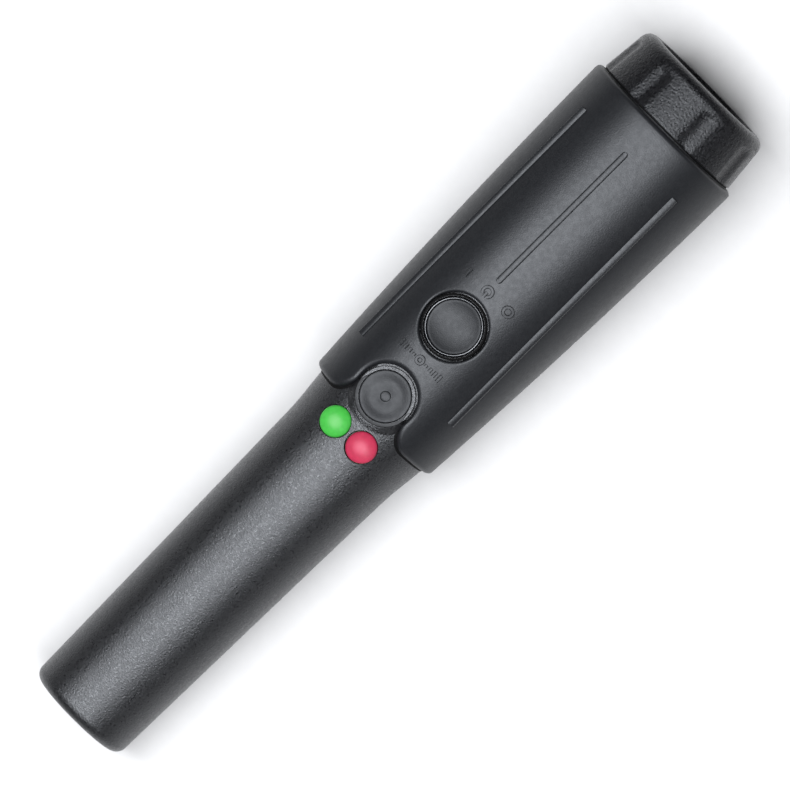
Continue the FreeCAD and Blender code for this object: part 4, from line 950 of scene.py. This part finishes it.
def make_clear(name, tint, roughness):
    """Clear plastic with faint flow marks."""
    finish = Finish(name, specular=0.5)
    finish.shader.inputs["Transmission Weight"].default_value = 1.0
    finish.shader.inputs["IOR"].default_value = 1.58
    finish.colour(finish.noise(3.0), tint, (1.0, 1.0, 1.0))
    finish.roughness(finish.noise(4.0), roughness, roughness + 0.05)
    finish.bump(finish.noise(2.5), 0.004)
    return finish.material


def make_windings(name, copper, dark, turn_width):
    """Enamelled wire, with a painted highlight band on each turn and painted shade between one turn and the next.
    """
    finish = Finish(name, metallic=1.0)
    turn_shade_bands = finish.bands(turn_width)
    # painted highlight on each turn of wire and painted shade between them
    finish.colour(turn_shade_bands, dark, copper, 0.1, 0.6)
    finish.roughness(finish.noise(1.5), 0.28, 0.42)
    finish.bump(turn_shade_bands, turn_width * 0.3)
    return finish.material


def make_board_finish(name, mask, track):
    """Green solder mask over tracks."""
    finish = Finish(name, specular=0.55)
    tracks = finish.cells(3.2, "DISTANCE_TO_EDGE")
    finish.colour(tracks, track, mask, 0.03, 0.06)
    finish.roughness(finish.noise(2.0), 0.3, 0.4)
    finish.bump(finish.remap(tracks, 0.02, 0.06, 1.0, 0.0), 0.03)
    return finish.material


def make_brushed(name, dark, light, stretch, roughness):
    """Metal with fine drawn lines."""
    finish = Finish(name, metallic=1.0)
    lines = finish.noise(0.25, 3.0, 0.6, stretch)
    finish.colour(lines, dark, light, 0.3, 0.7)
    finish.roughness(lines, roughness - 0.06, roughness + 0.08)
    finish.bump(lines, 0.008)
    return finish.material


# dark and light colour, size of the grain and depth of the bump in millimetres,
# roughness and specular level
case_plastic = sparked(
    "case_plastic", (0.002, 0.002, 0.0023), (0.0052, 0.0052, 0.006), 0.42, 0.085, 0.36, 0.56
)
case_smooth = grained(
    "case_smooth", (0.002, 0.002, 0.0023), (0.0045, 0.0045, 0.005), 0.35, 0.02, 0.42, 0.19, tint=COOL
)
key_gloss = grained(
    "key_gloss", (0.005, 0.0054, 0.0062), (0.006, 0.0064, 0.0074), 0.4, 0.01, 0.3, 0.95, tint=COOL
)
grip_rubber = grained(
    "grip_rubber", (0.005, 0.0054, 0.0064), (0.0075, 0.008, 0.0092), 0.45, 0.045, 0.42, 0.3, tint=COOL
)
cap_plastic = sparked(
    "cap_plastic", (0.0012, 0.0012, 0.0015), (0.0026, 0.0026, 0.0034), 0.62, 0.13, 0.3, 0.31
)
key_rubber = grained(
    "key_rubber", (0.005, 0.0054, 0.0062), (0.006, 0.0064, 0.0074), 0.4, 0.03, 0.42, 0.21, tint=COOL
)
grey_plastic = grained("grey_plastic", (0.2, 0.21, 0.23), (0.28, 0.29, 0.31), 0.5, 0.02, 0.5)
black_epoxy = grained("black_epoxy", (0.02, 0.02, 0.02), (0.04, 0.04, 0.04), 0.25, 0.02, 0.5)
white_plastic = grained("white_plastic", (0.68, 0.68, 0.65), (0.78, 0.78, 0.75), 0.6, 0.01, 0.4)
# also the colour of the painted-shade strip laid along the grip's edges
seal_rubber = grained(
    "seal_rubber", (0.0015, 0.0015, 0.0016), (0.003, 0.003, 0.0032), 0.3, 0.01, 0.65, 0.06
)
ferrite = grained("ferrite", (0.03, 0.03, 0.033), (0.08, 0.08, 0.085), 0.3, 0.04, 0.55)
foam = grained("foam", (0.03, 0.03, 0.033), (0.12, 0.12, 0.13), 0.9, 0.3, 0.9, 0.2)
lead_cover = grained("lead_cover", (0.4, 0.03, 0.03), (0.55, 0.06, 0.05), 0.6, 0.01, 0.4)
brass = grained("brass", (0.62, 0.42, 0.16), (0.8, 0.6, 0.28), 0.8, 0.01, 0.28, metallic=1.0)
board_green = make_board_finish("board_green", (0.02, 0.2, 0.07), (0.04, 0.32, 0.1))
# the second colour is the painted shade between the wire's coils
copper_wire = make_windings("copper_wire", (0.78, 0.36, 0.16), (0.3, 0.1, 0.04), 0.25)
steel = make_brushed("steel", (0.5, 0.5, 0.52), (0.68, 0.68, 0.7), (1, 1, 0.1), 0.3)
battery_jacket = make_brushed(
    "battery_jacket", (0.42, 0.43, 0.45), (0.58, 0.59, 0.61), (0.05, 1, 1), 0.38
)
reflector_metal = make_brushed(
    "reflector_metal", (0.84, 0.84, 0.86), (0.92, 0.92, 0.93), (1, 1, 1), 0.08
)
clear_lens = make_clear("clear_lens", (0.93, 0.95, 0.96), 0.02)
led_clear = make_clear("led_clear", (0.92, 0.92, 0.85), 0.05)
# the second colour of each lens is the painted light in its middle
green_plastic = make_lens_finish("green_plastic", (0.03, 0.24, 0.03), (0.06, 0.28, 0.055), -1)
red_plastic = make_lens_finish("red_plastic", (0.27, 0.018, 0.045), (0.33, 0.035, 0.07), 1)

# what each slot of the record looks like
FINISHES = {
    "case_plastic": case_plastic, "grip_rubber": grip_rubber, "cap_plastic": cap_plastic,
    "key_rubber": key_rubber, "green_plastic": green_plastic, "red_plastic": red_plastic,
    "clear_lens": clear_lens, "reflector_metal": reflector_metal, "seal_rubber": seal_rubber,
    "board_green": board_green, "black_epoxy": black_epoxy, "white_plastic": white_plastic,
    "grey_plastic": grey_plastic, "battery_jacket": battery_jacket, "steel": steel,
    "brass": brass, "copper_wire": copper_wire, "ferrite": ferrite, "led_clear": led_clear,
    "foam": foam, "lead_cover": lead_cover,
}
for subpart in frame["record"]["subparts"]:
    node = nodes[subpart["node"]]
    node.data.materials.clear()
    node.data.materials.append(FINISHES[subpart["material_slot"]])

make_grip(grip_rubber)
make_ribs(grip_rubber)
make_marks(grip_rubber)
make_cap(cap_plastic)
make_power_key(key_rubber)
make_light_key(key_rubber)
make_lens("green", -1, green_plastic)
make_lens("red", 1, red_plastic)
make_well_blend(case_plastic)
make_light_rim(case_smooth)
make_power_rim(key_gloss)
# painted shade: a black strip along the grip's edges and round the power key's window
make_painted_shade_line(seal_rubber)


# ---------------------------------------------------------------- stage

# metres and watts
SOFTBOX_PLACE = (0.13, 0.08, 1.1)
SOFTBOX_SIZE = (0.5, 1.5)
SOFTBOX_POWER = 38.5
SOFTBOX_TINT = (0.985, 0.995, 1.02)
SURROUND = 0.08                      # strength of the even light from all round
VIEW_ROLL = 6.0                      # degrees that the camera leans over to the side
VIEW_BACK = 2.3                      # degrees that it leans back towards the butt
VIEW_TURN = 44.854                   # degrees between the probe and the picture's lower edge
VIEW_DISTANCE = 3.0
VIEW_WIDTH = 0.2129                  # width of the picture at the probe
AIM_STATION = LENGTH / 2 - 2.3       # the middle of the picture, in the probe's millimetres
AIM_Y = -0.46
FLOOR_HALF = 6.0


def make_softbox():
    """A soft rectangular light that points straight down."""
    light = bpy.data.lights.new("softbox", "AREA")
    light.shape = "RECTANGLE"
    light.size, light.size_y = SOFTBOX_SIZE
    light.energy = SOFTBOX_POWER
    light.color = SOFTBOX_TINT
    lamp = bpy.data.objects.new("softbox", light)
    bpy.context.scene.collection.objects.link(lamp)
    lamp.location = SOFTBOX_PLACE


def make_camera():
    """A long lens almost straight above the probe, which runs from lower left to upper right."""
    roll = math.radians(VIEW_ROLL)
    back = math.radians(VIEW_BACK)
    away = Vector((-math.sin(back), math.sin(roll), math.cos(roll) * math.cos(back))).normalized()
    flat = (AXIS - AXIS.dot(away) * away).normalized()
    across = away.cross(flat)
    turn = math.radians(VIEW_TURN)
    right = -math.cos(turn) * flat + math.sin(turn) * across
    up = -math.sin(turn) * flat - math.cos(turn) * across
    aim = BUTT + AXIS * AIM_STATION * 0.001 + SIDE * AIM_Y * 0.001
    data = bpy.data.cameras.new("camera")
    data.sensor_width = 36
    data.lens = data.sensor_width * VIEW_DISTANCE / VIEW_WIDTH
    data.clip_start = 0.1
    data.clip_end = 30
    camera = bpy.data.objects.new("camera", data)
    bpy.context.scene.collection.objects.link(camera)
    turned = Matrix((right, up, away)).transposed().to_4x4()
    camera.matrix_world = Matrix.Translation(aim + away * VIEW_DISTANCE) @ turned
    bpy.context.scene.camera = camera


def make_floor():
    """A wide pale floor."""
    half = FLOOR_HALF
    mesh = bpy.data.meshes.new("floor")
    corners = [(-half, -half, 0), (half, -half, 0), (half, half, 0), (-half, half, 0)]
    mesh.from_pydata(corners, [], [(0, 1, 2, 3)])
    paint = grained("floor_paint", (0.5, 0.5, 0.5), (0.51, 0.51, 0.51), 4.0, 0.01, 0.8, 0.2)
    mesh.materials.append(paint)
    floor = bpy.data.objects.new("floor", mesh)
    bpy.context.scene.collection.objects.link(floor)


def make_surround():
    """Faint even light from all round."""
    world = bpy.data.worlds.new("studio")
    bpy.context.scene.world = world
    world.use_nodes = True
    background = world.node_tree.nodes["Background"]
    background.inputs["Color"].default_value = (1, 1, 1, 1)
    background.inputs["Strength"].default_value = SURROUND


make_camera()
make_floor()
make_softbox()
make_surround()
bpy.context.scene.view_settings.view_transform = "Standard"
